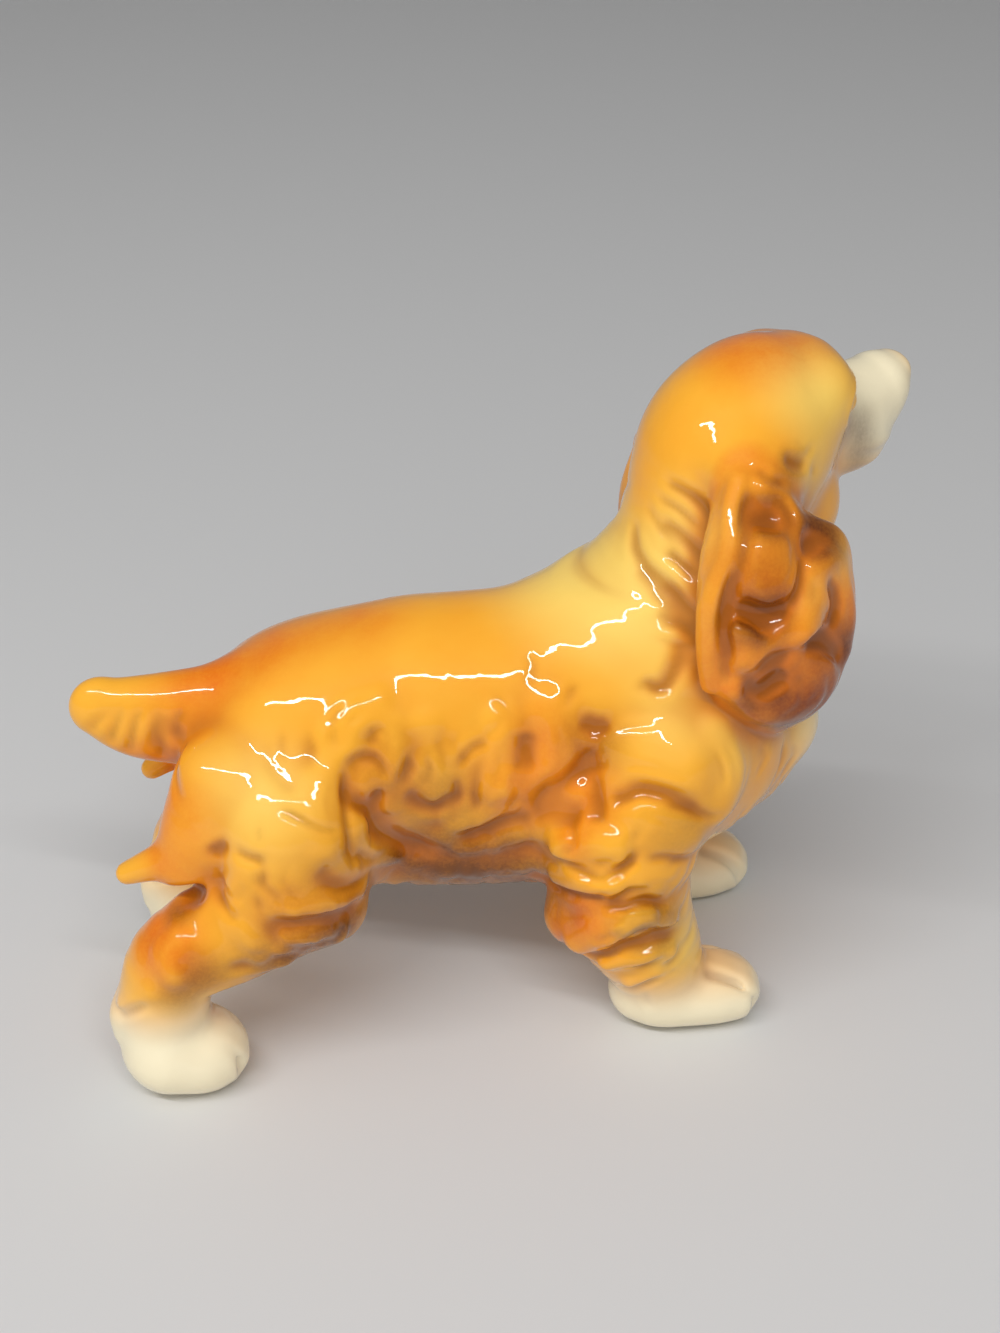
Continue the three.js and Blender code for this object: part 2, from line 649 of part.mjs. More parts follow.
// The corners of a cell that lie inside the clay, in groups that touch along the cell's edges
function lumpsOf(corner) {
  const left = new Set(cellCorners.keys());
  const lumps = [];
  for (const first of cellCorners.keys()) {
    if (corner[first] >= 0 || !left.delete(first)) {
      continue;
    }
    const lump = [first];
    for (const c of lump) {
      for (const next of [c ^ 1, c ^ 2, c ^ 4]) {
        if (corner[next] < 0 && left.delete(next)) {
          lump.push(next);
        }
      }
    }
    lumps.push(lump);
  }
  return lumps;
}

// The middle of the points where the surface crosses the edges that leave a lump
function crossingCentre(corner, lump) {
  const sum = [0, 0, 0];
  let crossings = 0;
  for (const a of lump) {
    for (let axis = 0; axis < 3; axis++) {
      const b = a ^ (1 << axis);
      if (corner[b] < 0) {
        continue;
      }
      const t = corner[a] / (corner[a] - corner[b]);
      cellCorners[a].forEach((start, i) => {
        sum[i] += start + (i === axis ? t * (cellCorners[b][i] - start) : 0);
      });
      crossings++;
    }
  }
  return sum.map((total) => total / crossings);
}

// A quad is split along its shorter diagonal.
function addQuad(faces, points, [a, b, c, d]) {
  const span = (p, q) => Math.hypot(...points[p].map((value, i) => value - points[q][i]));
  if (span(a, c) <= span(b, d)) {
    faces.push([a, b, c], [a, c, d]);
  } else {
    faces.push([a, b, d], [b, c, d]);
  }
}

function ontoSurface(distance, point, most) {
  let here = point;
  for (let round = 0; round < 3; round++) {
    const out = slope(distance, here);
    const steep = Math.max(out[0] ** 2 + out[1] ** 2 + out[2] ** 2, 0.25);
    const move = Math.min(most, Math.max(-most, distance(...here) / steep));
    here = here.map((h, i) => h - move * out[i]);
  }
  return here;
}

// Solids
const wasm = await Module();
wasm.setup();

function solidOf(points, faces) {
  return new wasm.Manifold(new wasm.Mesh({
    numProp: 3,
    vertProperties: new Float32Array(points.flat()),
    triVerts: new Uint32Array(faces.flat()),
  }));
}

function solidClay(distance, from, to, size) {
  const { points, faces } = facet(distance, from, to, size);
  return solidOf(points, faces);
}

// The box around all the touches
function boxAround(touches) {
  return {
    low: [0, 1, 2].map((i) => Math.min(...touches.map((t) => t.low[i]))),
    high: [0, 1, 2].map((i) => Math.max(...touches.map((t) => t.high[i]))),
  };
}

// A prism over an outline in the plane across X or across Y, from one place on that axis to another
function prism(outline, from, to, across) {
  const extruded = new THREE.ExtrudeGeometry(new THREE.Shape(outline.map((p) => new THREE.Vector2(...p))), {
    depth: to - from,
    bevelEnabled: false,
  });
  extruded.deleteAttribute("normal");
  extruded.deleteAttribute("uv");
  const merged = mergeVertices(extruded);
  const position = merged.getAttribute("position");
  const points = [];
  for (let i = 0; i < position.count; i++) {
    const [a, b, c] = [position.getX(i), position.getY(i), from + position.getZ(i)];
    points.push(across === "x" ? [c, a, b] : [a, c, b]);
  }
  const index = [...merged.index.array];
  const faces = [];
  for (let i = 0; i < index.length; i += 3) {
    const face = index.slice(i, i + 3);
    faces.push(across === "x" ? face : face.reverse());
  }
  return solidOf(points, faces);
}

// Where the figure is cut into castings. Each block is made twice: as it is for the casting that
// it cuts off, and wider by the luting gap for the trunk.
function legBlock(side, from, to, height, wider) {
  const inner = side * (LUTE_GAP / 2 + 0.35 - wider);
  const outer = side * EMPTY;
  const outline = [
    [inner, -REACH],
    [inner, height + 1.4 * wider],
    [outer, height + JOINT_RISE + 1.4 * wider],
    [outer, -REACH],
  ];
  return prism(side < 0 ? outline : outline.reverse(), from - wider, to + wider, "x");
}

const forelegBlock = (side, wider) =>
  legBlock(side, FORE_STANCE - FORE_JOINT_BACK, BEYOND, FORE_JOINT_HEIGHT, wider);

const hindlegBlock = (side, wider) =>
  legBlock(side, -BEYOND, HIND_STANCE + HIND_JOINT_FRONT, HIND_JOINT_HEIGHT, wider);

function headBlock(wider) {
  const front = NECK_JOINT_HEIGHT - NECK_JOINT_FALL;
  const outline = [
    [HEAD_REACH + NECK_JOINT_SPAN, front - wider],
    [HEAD_REACH + NECK_JOINT_SPAN, BEYOND],
    [HEAD_REACH - NECK_JOINT_SPAN, BEYOND],
    [HEAD_REACH - NECK_JOINT_SPAN, front + NECK_JOINT_REAR_RISE - wider],
    [HEAD_REACH - NECK_JOINT_SETBACK, front + NECK_JOINT_RISE - wider],
  ];
  return prism(outline, -EMPTY, EMPTY, "y");
}

function tailBlock(wider) {
  const front = TAIL_JOINT_REACH + wider;
  const [under, over] = [TAIL_HEIGHT - 13 - wider, TAIL_HEIGHT + 15];
  const outline = [
    [front, TAIL_HEIGHT],
    [front + 5, over],
    [front - 50, over],
    [front - 50, under],
    [front - 4.3, under],
  ];
  const half = TAIL_WIDTH / 2 + 4 + wider;
  return prism(outline, -half, half, "y");
}

const rightForeleg = modelForeleg(SIDES.right, 0);
const leftForeleg = modelForeleg(SIDES.left, FORE_STEP);
const bodyClay = [
  ...modelTrunk(),
  ...modelNeck(),
  ...modelHead(),
  ...modelTail(),
  ...rightForeleg,
  ...leftForeleg,
  ...modelHindleg(SIDES.right, 0),
  ...modelHindleg(SIDES.left, HIND_STEP),
];
for (const side of Object.values(SIDES)) {
  combFlank(bodyClay, side);
  combHindleg(bodyClay, side, side > 0 ? HIND_STEP : 0);
  combForeleg(bodyClay, side, side > 0 ? FORE_STEP : 0);
  addCreases(bodyClay, NECK_CREASES, side, [HEAD_REACH, HEAD_HEIGHT]);
}

function largest(solid) {
  return solid.decompose().sort((a, b) => b.volume() - a.volume())[0];
}

// A piece of the body is faceted by itself, inside the box of the block that cuts it off.
function bodySolid(block, size) {
  const all = boxAround(bodyClay);
  const { min, max } = block ? block.boundingBox() : { min: all.low, max: all.high };
  const low = all.low.map((l, i) => Math.max(l, min[i] - 3 * size[i]));
  const high = all.high.map((h, i) => Math.min(h, max[i] + 3 * size[i]));
  const near = bodyClay.filter((t) => t.low.every((l, i) => l < high[i] && t.high[i] > low[i]));
  const distance = (x, y, z) => Math.max(
    clayDistance(near, x, y, z),
    ...[x, y, z].map((c, i) => Math.max(low[i] - c, c - high[i])),
  );
  const solid = solidClay(distance, low, high, size).trimByPlane([0, 0, 1], 0);
  return block ? solid.intersect(block) : solid;
}

const cuts = {
  head: [headBlock, HEAD_FACET],
  tail: [tailBlock, TAIL_FACET],
  right_foreleg: [(wider) => forelegBlock(SIDES.right, wider), LEG_FACET],
  left_foreleg: [(wider) => forelegBlock(SIDES.left, wider), LEG_FACET],
  right_hindleg: [(wider) => hindlegBlock(SIDES.right, wider), LEG_FACET],
  left_hindleg: [(wider) => hindlegBlock(SIDES.left, wider), LEG_FACET],
};
const castings = {};
let trunk = bodySolid(null, TRUNK_FACET);
for (const [name, [block, size]] of Object.entries(cuts)) {
  castings[name] = largest(bodySolid(block(0), size));
  trunk = trunk.subtract(block(LUTE_GAP));
}
castings.trunk = largest(trunk);
const ears = {
  right_ear: [modelRightEar(), RIGHT_EAR_FACET],
  left_ear: [modelLeftEar(), LEFT_EAR_FACET],
};
for (const [name, [touches, size]] of Object.entries(ears)) {
  const { low, high } = boxAround(touches);
  const fitted = fittedOver(bodyClay, touches, EAR_EDGE_ROUNDING);
  castings[name] = largest(solidClay(fitted, low, high, size));
}

// Glazed colours of the castings
const glaze = (colour) => new THREE.MeshStandardMaterial({ color: colour, roughness: 0.12, metalness: 0 });
const HONEY = glaze(0xe0a24a);
const CREAM = glaze(0xeed7ad);
const CHESTNUT = glaze(0xb05a24);
const COLOURS = { trunk: HONEY, head: HONEY, tail: HONEY, right_ear: CHESTNUT, left_ear: CHESTNUT };

function geometryOf(solid) {
  const mesh = solid.getMesh();
  const geometry = new THREE.BufferGeometry();
  geometry.setAttribute("position", new THREE.BufferAttribute(new Float32Array(mesh.vertProperties), 3));
  geometry.setIndex(new THREE.BufferAttribute(new Uint32Array(mesh.triVerts), 1));
  geometry.computeVertexNormals();
  return geometry;
}

const figurine = new THREE.Group();
for (const [name, solid] of Object.entries(castings)) {
  const mesh = new THREE.Mesh(geometryOf(solid), COLOURS[name] ?? CREAM);
  mesh.name = name;
  figurine.add(mesh);
}
const outline = new THREE.Box3().setFromObject(figurine);
figurine.position.set(-(outline.min.x + outline.max.x) / 2, -(outline.min.y + outline.max.y) / 2, 0);

export default figurine;
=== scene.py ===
# %% [markdown]
# # A glazed porcelain spaniel
# The real figurine is slip-cast porcelain: trunk, head, tail, legs and ears come out of their
# own moulds, are luted together with wet slip, fired, sprayed with ceramic colours through an
# airbrush and covered with a clear glaze. This lesson follows the same order: shape the clay,
# comb the coat into it, part it into its castings, spray the colours, and glaze it.

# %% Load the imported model
import json
import math

import bpy
import numpy as np
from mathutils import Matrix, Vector

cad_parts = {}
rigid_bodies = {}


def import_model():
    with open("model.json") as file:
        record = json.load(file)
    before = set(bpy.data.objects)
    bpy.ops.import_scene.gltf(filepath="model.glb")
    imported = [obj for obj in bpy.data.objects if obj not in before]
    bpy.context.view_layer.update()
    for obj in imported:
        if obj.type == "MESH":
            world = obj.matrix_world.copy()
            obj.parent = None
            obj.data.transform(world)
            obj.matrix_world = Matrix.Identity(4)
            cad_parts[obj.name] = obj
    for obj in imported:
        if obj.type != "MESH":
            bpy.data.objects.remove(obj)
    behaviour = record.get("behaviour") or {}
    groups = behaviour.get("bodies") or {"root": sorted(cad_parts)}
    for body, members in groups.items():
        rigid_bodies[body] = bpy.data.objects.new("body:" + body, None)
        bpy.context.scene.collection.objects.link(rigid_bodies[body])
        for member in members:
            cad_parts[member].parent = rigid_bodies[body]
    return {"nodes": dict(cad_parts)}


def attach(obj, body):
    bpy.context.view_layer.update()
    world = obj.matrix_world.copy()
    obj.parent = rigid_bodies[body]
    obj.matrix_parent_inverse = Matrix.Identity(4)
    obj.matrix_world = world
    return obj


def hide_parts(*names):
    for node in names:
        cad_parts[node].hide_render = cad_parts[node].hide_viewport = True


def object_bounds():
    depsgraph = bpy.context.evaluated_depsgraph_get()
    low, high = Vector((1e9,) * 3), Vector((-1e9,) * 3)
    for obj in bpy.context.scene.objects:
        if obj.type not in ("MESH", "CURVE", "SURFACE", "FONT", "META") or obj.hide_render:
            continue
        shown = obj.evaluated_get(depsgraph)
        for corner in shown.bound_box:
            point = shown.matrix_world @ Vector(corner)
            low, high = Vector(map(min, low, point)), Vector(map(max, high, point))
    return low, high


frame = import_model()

cad_low, cad_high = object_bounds()
castings = sorted(frame["nodes"])
print("castings:", ", ".join(castings))

# %% [markdown]
# ## Camera
# The photograph looks down at the dog's right side from a little behind the shoulder. A camera
# is easiest to place as a compass direction, a height above the horizon and a distance.
# All shapes below are in millimetres in the sculptor's own frame, whose origin is under the
# middle of the trunk, and ROW is the step from there to the frame of the part.

# %% Camera
MM = 0.001
ROW = np.array([-1.878, -0.251, 0.0])
AIM = np.array([0.0, 0.0, 70.0])
AZIMUTH, ELEVATION, DISTANCE = math.radians(-10), math.radians(31), 340.0
FOCAL_LENGTH = 51.4
NEAREST_SEEN, FARTHEST_SEEN = 0.01, 20.0


def in_row(point):
    return tuple((np.asarray(point, float) + ROW) * MM)


def direction(azimuth, elevation):
    return np.array([
        math.sin(azimuth) * math.cos(elevation),
        -math.cos(azimuth) * math.cos(elevation),
        math.sin(elevation),
    ])


def aim_at(thing, place, target):
    thing.location = in_row(place)
    gaze = Vector(target) - Vector(place)
    thing.rotation_euler = gaze.to_track_quat("-Z", "Y").to_euler()


def add_camera():
    lens = bpy.data.cameras.new("camera")
    lens.lens = FOCAL_LENGTH
    lens.clip_start, lens.clip_end = NEAREST_SEEN, FARTHEST_SEEN
    camera = bpy.data.objects.new("camera", lens)
    bpy.context.collection.objects.link(camera)
    aim_at(camera, AIM + DISTANCE * direction(AZIMUTH, ELEVATION), AIM)
    bpy.context.scene.camera = camera
    return camera


camera = add_camera()
print("camera at", [round(c, 4) for c in camera.location])

# %% [markdown]
# ## Light and floor
# A glaze shows its light as a sharp mirror image, so the shape of the lamp matters more than on
# a matt thing. One long narrow lamp overhead draws the thin white line along the back, and a
# wide dim one and the pale surroundings lift the shadows without a second sharp reflection.

# %% Light and floor
LIT_POINT = np.array([0.0, 0.0, 60.0])
ROOM_LIGHT = 0.2
PAPER_GREY, PAPER_ROUGHNESS = (0.70, 0.70, 0.70), 0.9
PAPER_FRONT, PAPER_BEND, PAPER_TOP, HALF_WIDTH = -3.0, 1.2, 4.0, 4.0
BEND_RADIUS, BEND_STEPS = 0.8, 12
BELOW_PAWS = 0.0002
scene = bpy.context.scene
scene.view_settings.view_transform = "Standard"


def add_lamp(name, toward, distance, size, watts):
    lamp = bpy.data.lights.new(name, "AREA")
    lamp.shape = "RECTANGLE"
    lamp.size, lamp.size_y = size
    lamp.energy = watts
    thing = bpy.data.objects.new(name, lamp)
    bpy.context.collection.objects.link(thing)
    toward = np.asarray(toward, float) / np.linalg.norm(toward)
    aim_at(thing, LIT_POINT + toward * distance, LIT_POINT)
    return thing


def plain_paint(name, colour, roughness):
    paint = bpy.data.materials.new(name)
    paint.use_nodes = True
    surface = paint.node_tree.nodes["Principled BSDF"]
    surface.inputs["Base Color"].default_value = (*colour, 1.0)
    surface.inputs["Roughness"].default_value = roughness
    return paint


def add_floor():
    """A pale sheet that runs flat under the dog and sweeps up behind it."""
    profile = [(PAPER_FRONT, 0.0), (PAPER_BEND, 0.0)]
    for step in range(1, BEND_STEPS + 1):
        angle = step / BEND_STEPS * math.pi / 2
        along = PAPER_BEND + BEND_RADIUS * math.sin(angle)
        profile.append((along, BEND_RADIUS - BEND_RADIUS * math.cos(angle)))
    profile.append((PAPER_BEND + BEND_RADIUS, PAPER_TOP))
    points = []
    for across in (-HALF_WIDTH, HALF_WIDTH):
        points += [(across, along, up - BELOW_PAWS) for along, up in profile]
    count = len(profile)
    faces = [(i, count + i, count + i + 1, i + 1) for i in range(count - 1)]
    mesh = bpy.data.meshes.new("floor")
    mesh.from_pydata(points, [], faces)
    mesh.shade_smooth()
    floor = bpy.data.objects.new("floor", mesh)
    bpy.context.collection.objects.link(floor)
    mesh.materials.append(plain_paint("pale_paper", PAPER_GREY, PAPER_ROUGHNESS))


add_floor()
key = add_lamp("long_strip", toward=(-0.25, -0.53, 0.81), distance=900, size=(1.05, 0.032), watts=4.6)
fill = add_lamp("wide_panel", toward=(-0.45, -0.85, 0.95), distance=1700, size=(2.6, 2.6), watts=17.0)
fill.visible_glossy = False
world = bpy.data.worlds.new("pale_room")
scene.world = world
world.use_nodes = True
room = world.node_tree.nodes["Background"].inputs
room["Color"].default_value = (1.0, 1.0, 1.0, 1.0)
room["Strength"].default_value = ROOM_LIGHT
print("lamps:", key.name, fill.name)

# %% [markdown]
# ## Clay as a field of distances
# A figurine has no straight edge to build from. It is easiest to think of as clay: at every
# point of a fine grid a number says how far the surface is, negative inside. Adding a lump is
# then one line of arithmetic, and lumps melt together as soft clay does. The same lumps, with
# the same sizes, make the solids of the part.

# %% The clay and its two kinds of lump
GRAIN = 0.57
FAR_AWAY = 30.0
MARGIN = 3
LOW, HIGH = np.array([-80.0, -34.0, -1.4]), np.array([86.0, 36.0, 130.0])
AXES = [np.arange(a, b, GRAIN, dtype=np.float32) for a, b in zip(LOW, HIGH)]


def fresh_clay():
    return np.full([len(a) for a in AXES], FAR_AWAY, np.float32)


def window(low, high):
    """The part of the grid between two corners, and its coordinates."""
    cut, where = [], []
    for i in range(3):
        a = max(0, int((low[i] - LOW[i]) / GRAIN))
        b = min(len(AXES[i]), int((high[i] - LOW[i]) / GRAIN) + 2)
        cut.append(slice(a, max(a, b)))
        shape = [1, 1, 1]
        shape[i] = -1
        where.append(AXES[i][cut[i]].reshape(shape))
    return tuple(cut), where


def melt_together(there, added, melt):
    t = np.clip(0.5 + 0.5 * (added - there) / melt, 0, 1)
    return added * (1 - t) + there * t - melt * t * (1 - t)


def turned(yaw=0.0, pitch=0.0):
    """Rows: the forward, left and up directions of something turned and tipped."""
    a, b = math.radians(yaw), math.radians(pitch)
    return np.array([
        [math.cos(a) * math.cos(b), math.sin(a) * math.cos(b), math.sin(b)],
        [-math.sin(a), math.cos(a), 0.0],
        [-math.cos(a) * math.sin(b), -math.sin(a) * math.sin(b), math.cos(b)],
    ])


def add_swelling(clay, centre, half, melt, yaw=0.0, pitch=0.0):
    """A lump like an egg, with half sizes along, across and up its own directions."""
    rows = turned(yaw, pitch)
    reach = np.sqrt(((rows.T * half) ** 2).sum(1)) + melt + MARGIN
    cut, place = window(centre - reach, centre + reach)
    offset = [place[i] - centre[i] for i in range(3)]
    near = far = 0.0
    for row, size in zip(rows, half):
        q = (row[0] * offset[0] + row[1] * offset[1] + row[2] * offset[2]) / size
        near = near + q * q
        far = far + (q / size) ** 2
    near = np.sqrt(near)
    added = near * (near - 1) / np.maximum(np.sqrt(far), 1e-6)
    clay[cut] = melt_together(clay[cut], added, max(melt, 1e-3))


def smooth_line(points, pieces=5):
    """A curve through the points."""
    p = np.asarray(points, float)
    if len(p) < 3:
        return p
    p = np.vstack([2 * p[0] - p[1], p, 2 * p[-1] - p[-2]])
    line = []
    for a, b, c, d in zip(p, p[1:], p[2:], p[3:]):
        for t in np.arange(pieces) / pieces:
            bend = 2 * a - 5 * b + 4 * c - d + t * (3 * b - a - 3 * c + d)
            line.append(b + 0.5 * t * (c - a + t * bend))
    return np.array(line + [p[-2]])


def along_line(line, place):
    """For each grid point the nearest stretch of a line: the offset from it and how far along."""
    for i, (a, b) in enumerate(zip(line, line[1:])):
        run = b - a
        d = [place[k] - a[k] for k in range(3)]
        t = np.clip((d[0] * run[0] + d[1] * run[1] + d[2] * run[2]) / (run @ run + 1e-9), 0, 1)
        yield i, t, [d[k] - t * run[k] for k in range(3)]


def squared(off):
    return off[0] ** 2 + off[1] ** 2 + off[2] ** 2


def add_limb(clay, stations, melt, widen=1.0, across=(0.0, 1.0, 0.0)):
    """A chain of tapering rods through (x, y, z, radius), wider or flatter across one way."""
    line = smooth_line(stations)
    across = np.asarray(across, float) / np.linalg.norm(across)
    pad = line[:, 3].max() * max(1.0, widen) + melt + MARGIN
    cut, place = window(line[:, :3].min(0) - pad, line[:, :3].max(0) + pad)
    added = FAR_AWAY
    for i, t, off in along_line(line[:, :3], place):
        squeeze = (off[0] * across[0] + off[1] * across[1] + off[2] * across[2]) * (1 - 1 / widen)
        off = [off[k] - squeeze * across[k] for k in range(3)]
        radius = line[i, 3] + (line[i + 1, 3] - line[i, 3]) * t
        added = np.minimum(added, np.sqrt(squared(off)) - radius)
    clay[cut] = melt_together(clay[cut], added, melt)


print("clay grid:", " x ".join(str(len(a)) for a in AXES))

# %% [markdown]
# ## Trunk and neck
# A spaniel's trunk is a deep chest, a loin and a rump, with a skirt of feathering under the
# belly. Each is one egg-shaped lump; the right and left shoulder and thigh are a pair.

# %% Trunk and neck
SIDES = {"right": -1, "left": 1}


def shape_trunk(clay):
    add_swelling(clay, (15, 0, 56.5), (35, 21.5, 28), 0, pitch=1)
    add_swelling(clay, (-14, 0, 60), (32, 19.5, 24), 8)
    add_swelling(clay, (-35, 0, 59.5), (20.5, 19.5, 20), 8)
    add_limb(clay, [(-27, 0, 39.5, 10.5), (-8, 0, 39, 12.2), (12, 0, 38.5, 12.4)], 6, 1.25)
    add_swelling(clay, (41.5, 1, 52), (16, 15, 17), 8)
    add_swelling(clay, (21, 0, 70.5), (18, 13, 12), 8, pitch=12)
    add_swelling(clay, (52.5, -3, 56), (6.5, 8, 8), 4)
    for side in SIDES.values():
        add_swelling(clay, (32, side * 13, 57), (16, 10, 20), 6, pitch=-18)
        add_swelling(clay, (-41, side * 12.5, 47), (16.5, 9.5, 19), 6, pitch=12)
    add_limb(clay, [(25, 0, 70, 20.5), (35.5, 1, 86, 17.2), (40.5, 4, 104, 15.5)], 9)


body = fresh_clay()
shape_trunk(body)
print("trunk and neck:", int((body < 0).sum()), "grains of clay")

# %% [markdown]
# ## Head
# The head looks to the dog's left, so it is shaped in its own directions: forward along the
# muzzle, to its left, and up. Skull, brows, muzzle, the two hanging lips, the nose and the eyes
# are separate lumps, because a modeller adds them in that order too.

# %% Head
HEAD, HEAD_TURN, HEAD_NOD = np.array([45.0, 6.0, 109.5]), 28, 3
HEAD_ROWS = turned(HEAD_TURN, HEAD_NOD)
EYE = (13.4, 8.6, 4.2)


def in_head(forward, left, up):
    return HEAD + np.array([forward, left, up], float) @ HEAD_ROWS


def head_swelling(clay, place, half, melt, nod=0):
    add_swelling(clay, in_head(*place), half, melt, HEAD_TURN, HEAD_NOD + nod)


def shape_head(clay):
    head_swelling(clay, (1.2, 0, 1.4), (16.4, 15, 15.5), 5)
    head_swelling(clay, (-5, 0, -2.5), (14.5, 14.5, 15.5), 5)
    head_swelling(clay, (11, 4, 6.8), (6.2, 7.4, 6), 4)
    head_swelling(clay, (11.4, -2, 8.2), (5.8, 6.8, 5.8), 5)
    muzzle = [(*in_head(10, 0, -2), 9.5), (*in_head(22, 0, -2.6), 8.2), (*in_head(30, 0, -2.4), 7.3)]
    add_limb(clay, muzzle, 3, 0.95, HEAD_ROWS[1])
    head_swelling(clay, (6.5, 0, -17.5), (11.5, 8, 10.5), 4)
    head_swelling(clay, (7, -5, -15), (9, 7, 10), 4)
    for side in SIDES.values():
        head_swelling(clay, (21.5, side * 3.6, -7.8), (9.5, 4.8, 5.8), 3, nod=-4)
        head_swelling(clay, (9.4, side * 8, 7), (5.6, 5, 5.4), 4)
        head_swelling(clay, (EYE[0], side * EYE[1], EYE[2]), (2.6, 2.6, 2.4), 0.8)
    head_swelling(clay, (33, 0, -0.2), (4.8, 6, 5), 2)
    head_swelling(clay, (36.2, 0, 1.7), (2.1, 4.2, 2.6), 1.6)


shape_head(body)
print("head at", HEAD, "turned", HEAD_TURN, "degrees")

# %% [markdown]
# ## Tail and legs
# The docked tail and the legs are tapering rods bent through a few stations. The paws are short
# flat rods, and the feathering starts as extra lumps behind the elbow, stifle and hock. The
# left legs stand a step ahead of the right ones.

# %% Tail and legs
FORE_STEP, HIND_STEP = {-1: 0, 1: 9}, {-1: 0, 1: 6}


def shape_tail(clay):
    stations = [(-46, 0, 65.5, 10), (-57, 0, 66.3, 8.3), (-66.5, 0, 67.8, 6.5), (-70.2, 0, 69.3, 5.6)]
    add_limb(clay, stations, 4, 0.7)
    add_swelling(clay, (-60, 0, 62.9), (10.5, 4.3, 5.3), 3, pitch=-10)


def shape_foreleg(clay, side, step):
    y = side * 18 if side < 0 else 19.3
    add_limb(clay, [
        (26 + 0.3 * step, side * 15, 56, 15),
        (19.5 + 0.6 * step, side * 18, 44, 13),
        (20.3 + step, side * 18, 29, 12),
        (25.6 + step, y, 16, 9.5),
        (28 + step, y, 8, 7.0),
    ], 4)
    add_limb(clay, [
        (24 + step, y - side, 6.4, 6),
        (28 + step, y, 6.6, 6.9),
        (36.5 + step, y + 0.4 * side, 6.3, 7),
        (40.5 + step, y + 0.8 * side, 5.8, 6.2),
    ], 2.5, 1.15)
    add_swelling(clay, (10.5 + step, side * 18, 47.5), (8, 6.5, 6.5), 3)
    add_swelling(clay, (12.5 + step, side * 18, 27), (7.5, 6, 7), 3)


def shape_hindleg(clay, side, step):
    y = side * 19
    add_limb(clay, [
        (-40 + 0.3 * step, side * 15, 52, 14),
        (-41 + step, side * 17, 41, 12.5),
        (-50 + step, side * 18, 33, 10.1),
        (-61.5 + step, y, 27, 8.6),
        (-64.6 + step, y, 16, 8.0),
        (-64.6 + step, y, 9, 8.2),
    ], 4)
    add_limb(clay, [
        (-64 + step, y + 0.5 * side, 8, 8.2),
        (-59 + step, y + 0.8 * side, 6.8, 7.7),
        (-57 + step, y + 0.8 * side, 6.3, 6.8),
    ], 2.5, 1.15)
    add_swelling(clay, (-37 + step, side * 17, 34.5), (10, 7.5, 7.5), 3, pitch=-15)
    add_limb(clay, [
        (-66 + step, y, 21, 4.8),
        (-71 + step, y, 17, 3.2),
        (-72.3 + step, y, 12.5, 1.8),
    ], 2)
    ahead, above = (0, 0) if side < 0 else (5, 2.5)
    add_limb(clay, [
        (-51 + ahead, side * 12, 60, 8),
        (-55 + ahead, side * 14.5, 52 + above, 7),
        (-58.2 + ahead, side * 15.5, 46.5 + above, 5.2),
    ], 3)
    add_limb(clay, [
        (-57 + ahead, side * 16, 48.5 + above, 4.2),
        (-63 + ahead, side * 15.5, 46.2 + above, 3.1),
        (-68.4 + ahead, side * 14.2, 43.6 + above, 2.1),
    ], 1.6)


shape_tail(body)
for side in SIDES.values():
    shape_foreleg(body, side, FORE_STEP[side])
    shape_hindleg(body, side, HIND_STEP[side])
print("whole body:", int((body < 0).sum()), "grains of clay")

# %% [markdown]
# ## Combing the coat
# The wavy coat is what a modeller spends the most time on. A stroke of the tool presses a
# hollow along a line and pushes up a lip on both sides. Most strokes are drawn as seen from the
# dog's side, as (forward, up) points, and are laid onto the surface wherever it is there.
# The same strokes, a little shifted, comb the far side.

# %% Strokes of the modelling tool
MIDDLE_STRIP = 1.0
FEELER = 2
STROKE_REACH, LIP_PLACE, LIP_WIDTH = 3.4, 1.9, 0.8
END_DEPTH = 0.2


def skin(clay, x, z, side, inner=False):
    """How far out the surface lies at a point of the side view, or None off the clay."""
    i, k = (x - LOW[0]) / GRAIN, (z - LOW[2]) / GRAIN
    a, c = int(i), int(k)
    if a < 0 or c < 0 or a + 2 > clay.shape[0] or c + 2 > clay.shape[2]:
        return None
    u, w = i - a, k - c
    column = (
        (clay[a, :, c] * (1 - u) + clay[a + 1, :, c] * u) * (1 - w)
        + (clay[a, :, c + 1] * (1 - u) + clay[a + 1, :, c + 1] * u) * w
    )
    y = AXES[1]
    order = np.argsort(-y * side)
    if inner:
        order = order[::-1]
    order = order[y[order] * side > MIDDLE_STRIP]
    filled = np.flatnonzero(column[order] < 0)
    if len(filled) == 0 or filled[0] == 0:
        return None
    out, into = order[filled[0] - 1], order[filled[0]]
    t = column[out] / (column[out] - column[into])
    return float(y[out] + t * (y[into] - y[out]))


def outward(clay, point):
    """The direction in which the surface faces at a point in space."""
    here = [int(round(q)) for q in (np.asarray(point) - LOW) / GRAIN]
    rise = np.zeros(3)
    for axis in range(3):
        ahead, behind = list(here), list(here)
        ahead[axis] = min(here[axis] + FEELER, clay.shape[axis] - 1)
        behind[axis] -= FEELER
        rise[axis] = clay[tuple(ahead)] - clay[tuple(behind)]
    return rise / max(np.linalg.norm(rise), 1e-6)


def add_locks(clay, locks, side, shift=(0.0, 0.0), inner=False):
    """Rolls of clay laid on one side: how proud each stands, how it melts in, and (x, z, radius)."""
    done = 0
    for proud, melt, stations in locks:
        rod = []
        for x, z, radius in stations:
            x, z = x + shift[0], z + shift[1]
            y = skin(clay, x, z, side, inner)
            if y is not None:
                point = np.array([x, y, z])
                rod.append((*(point - outward(clay, point) * (radius - proud)), radius))
        if len(rod) == 1:
            rod.append((rod[0][0] + 0.1, *rod[0][1:]))
        if rod:
            add_limb(clay, rod, melt)
            done += 1
    return done


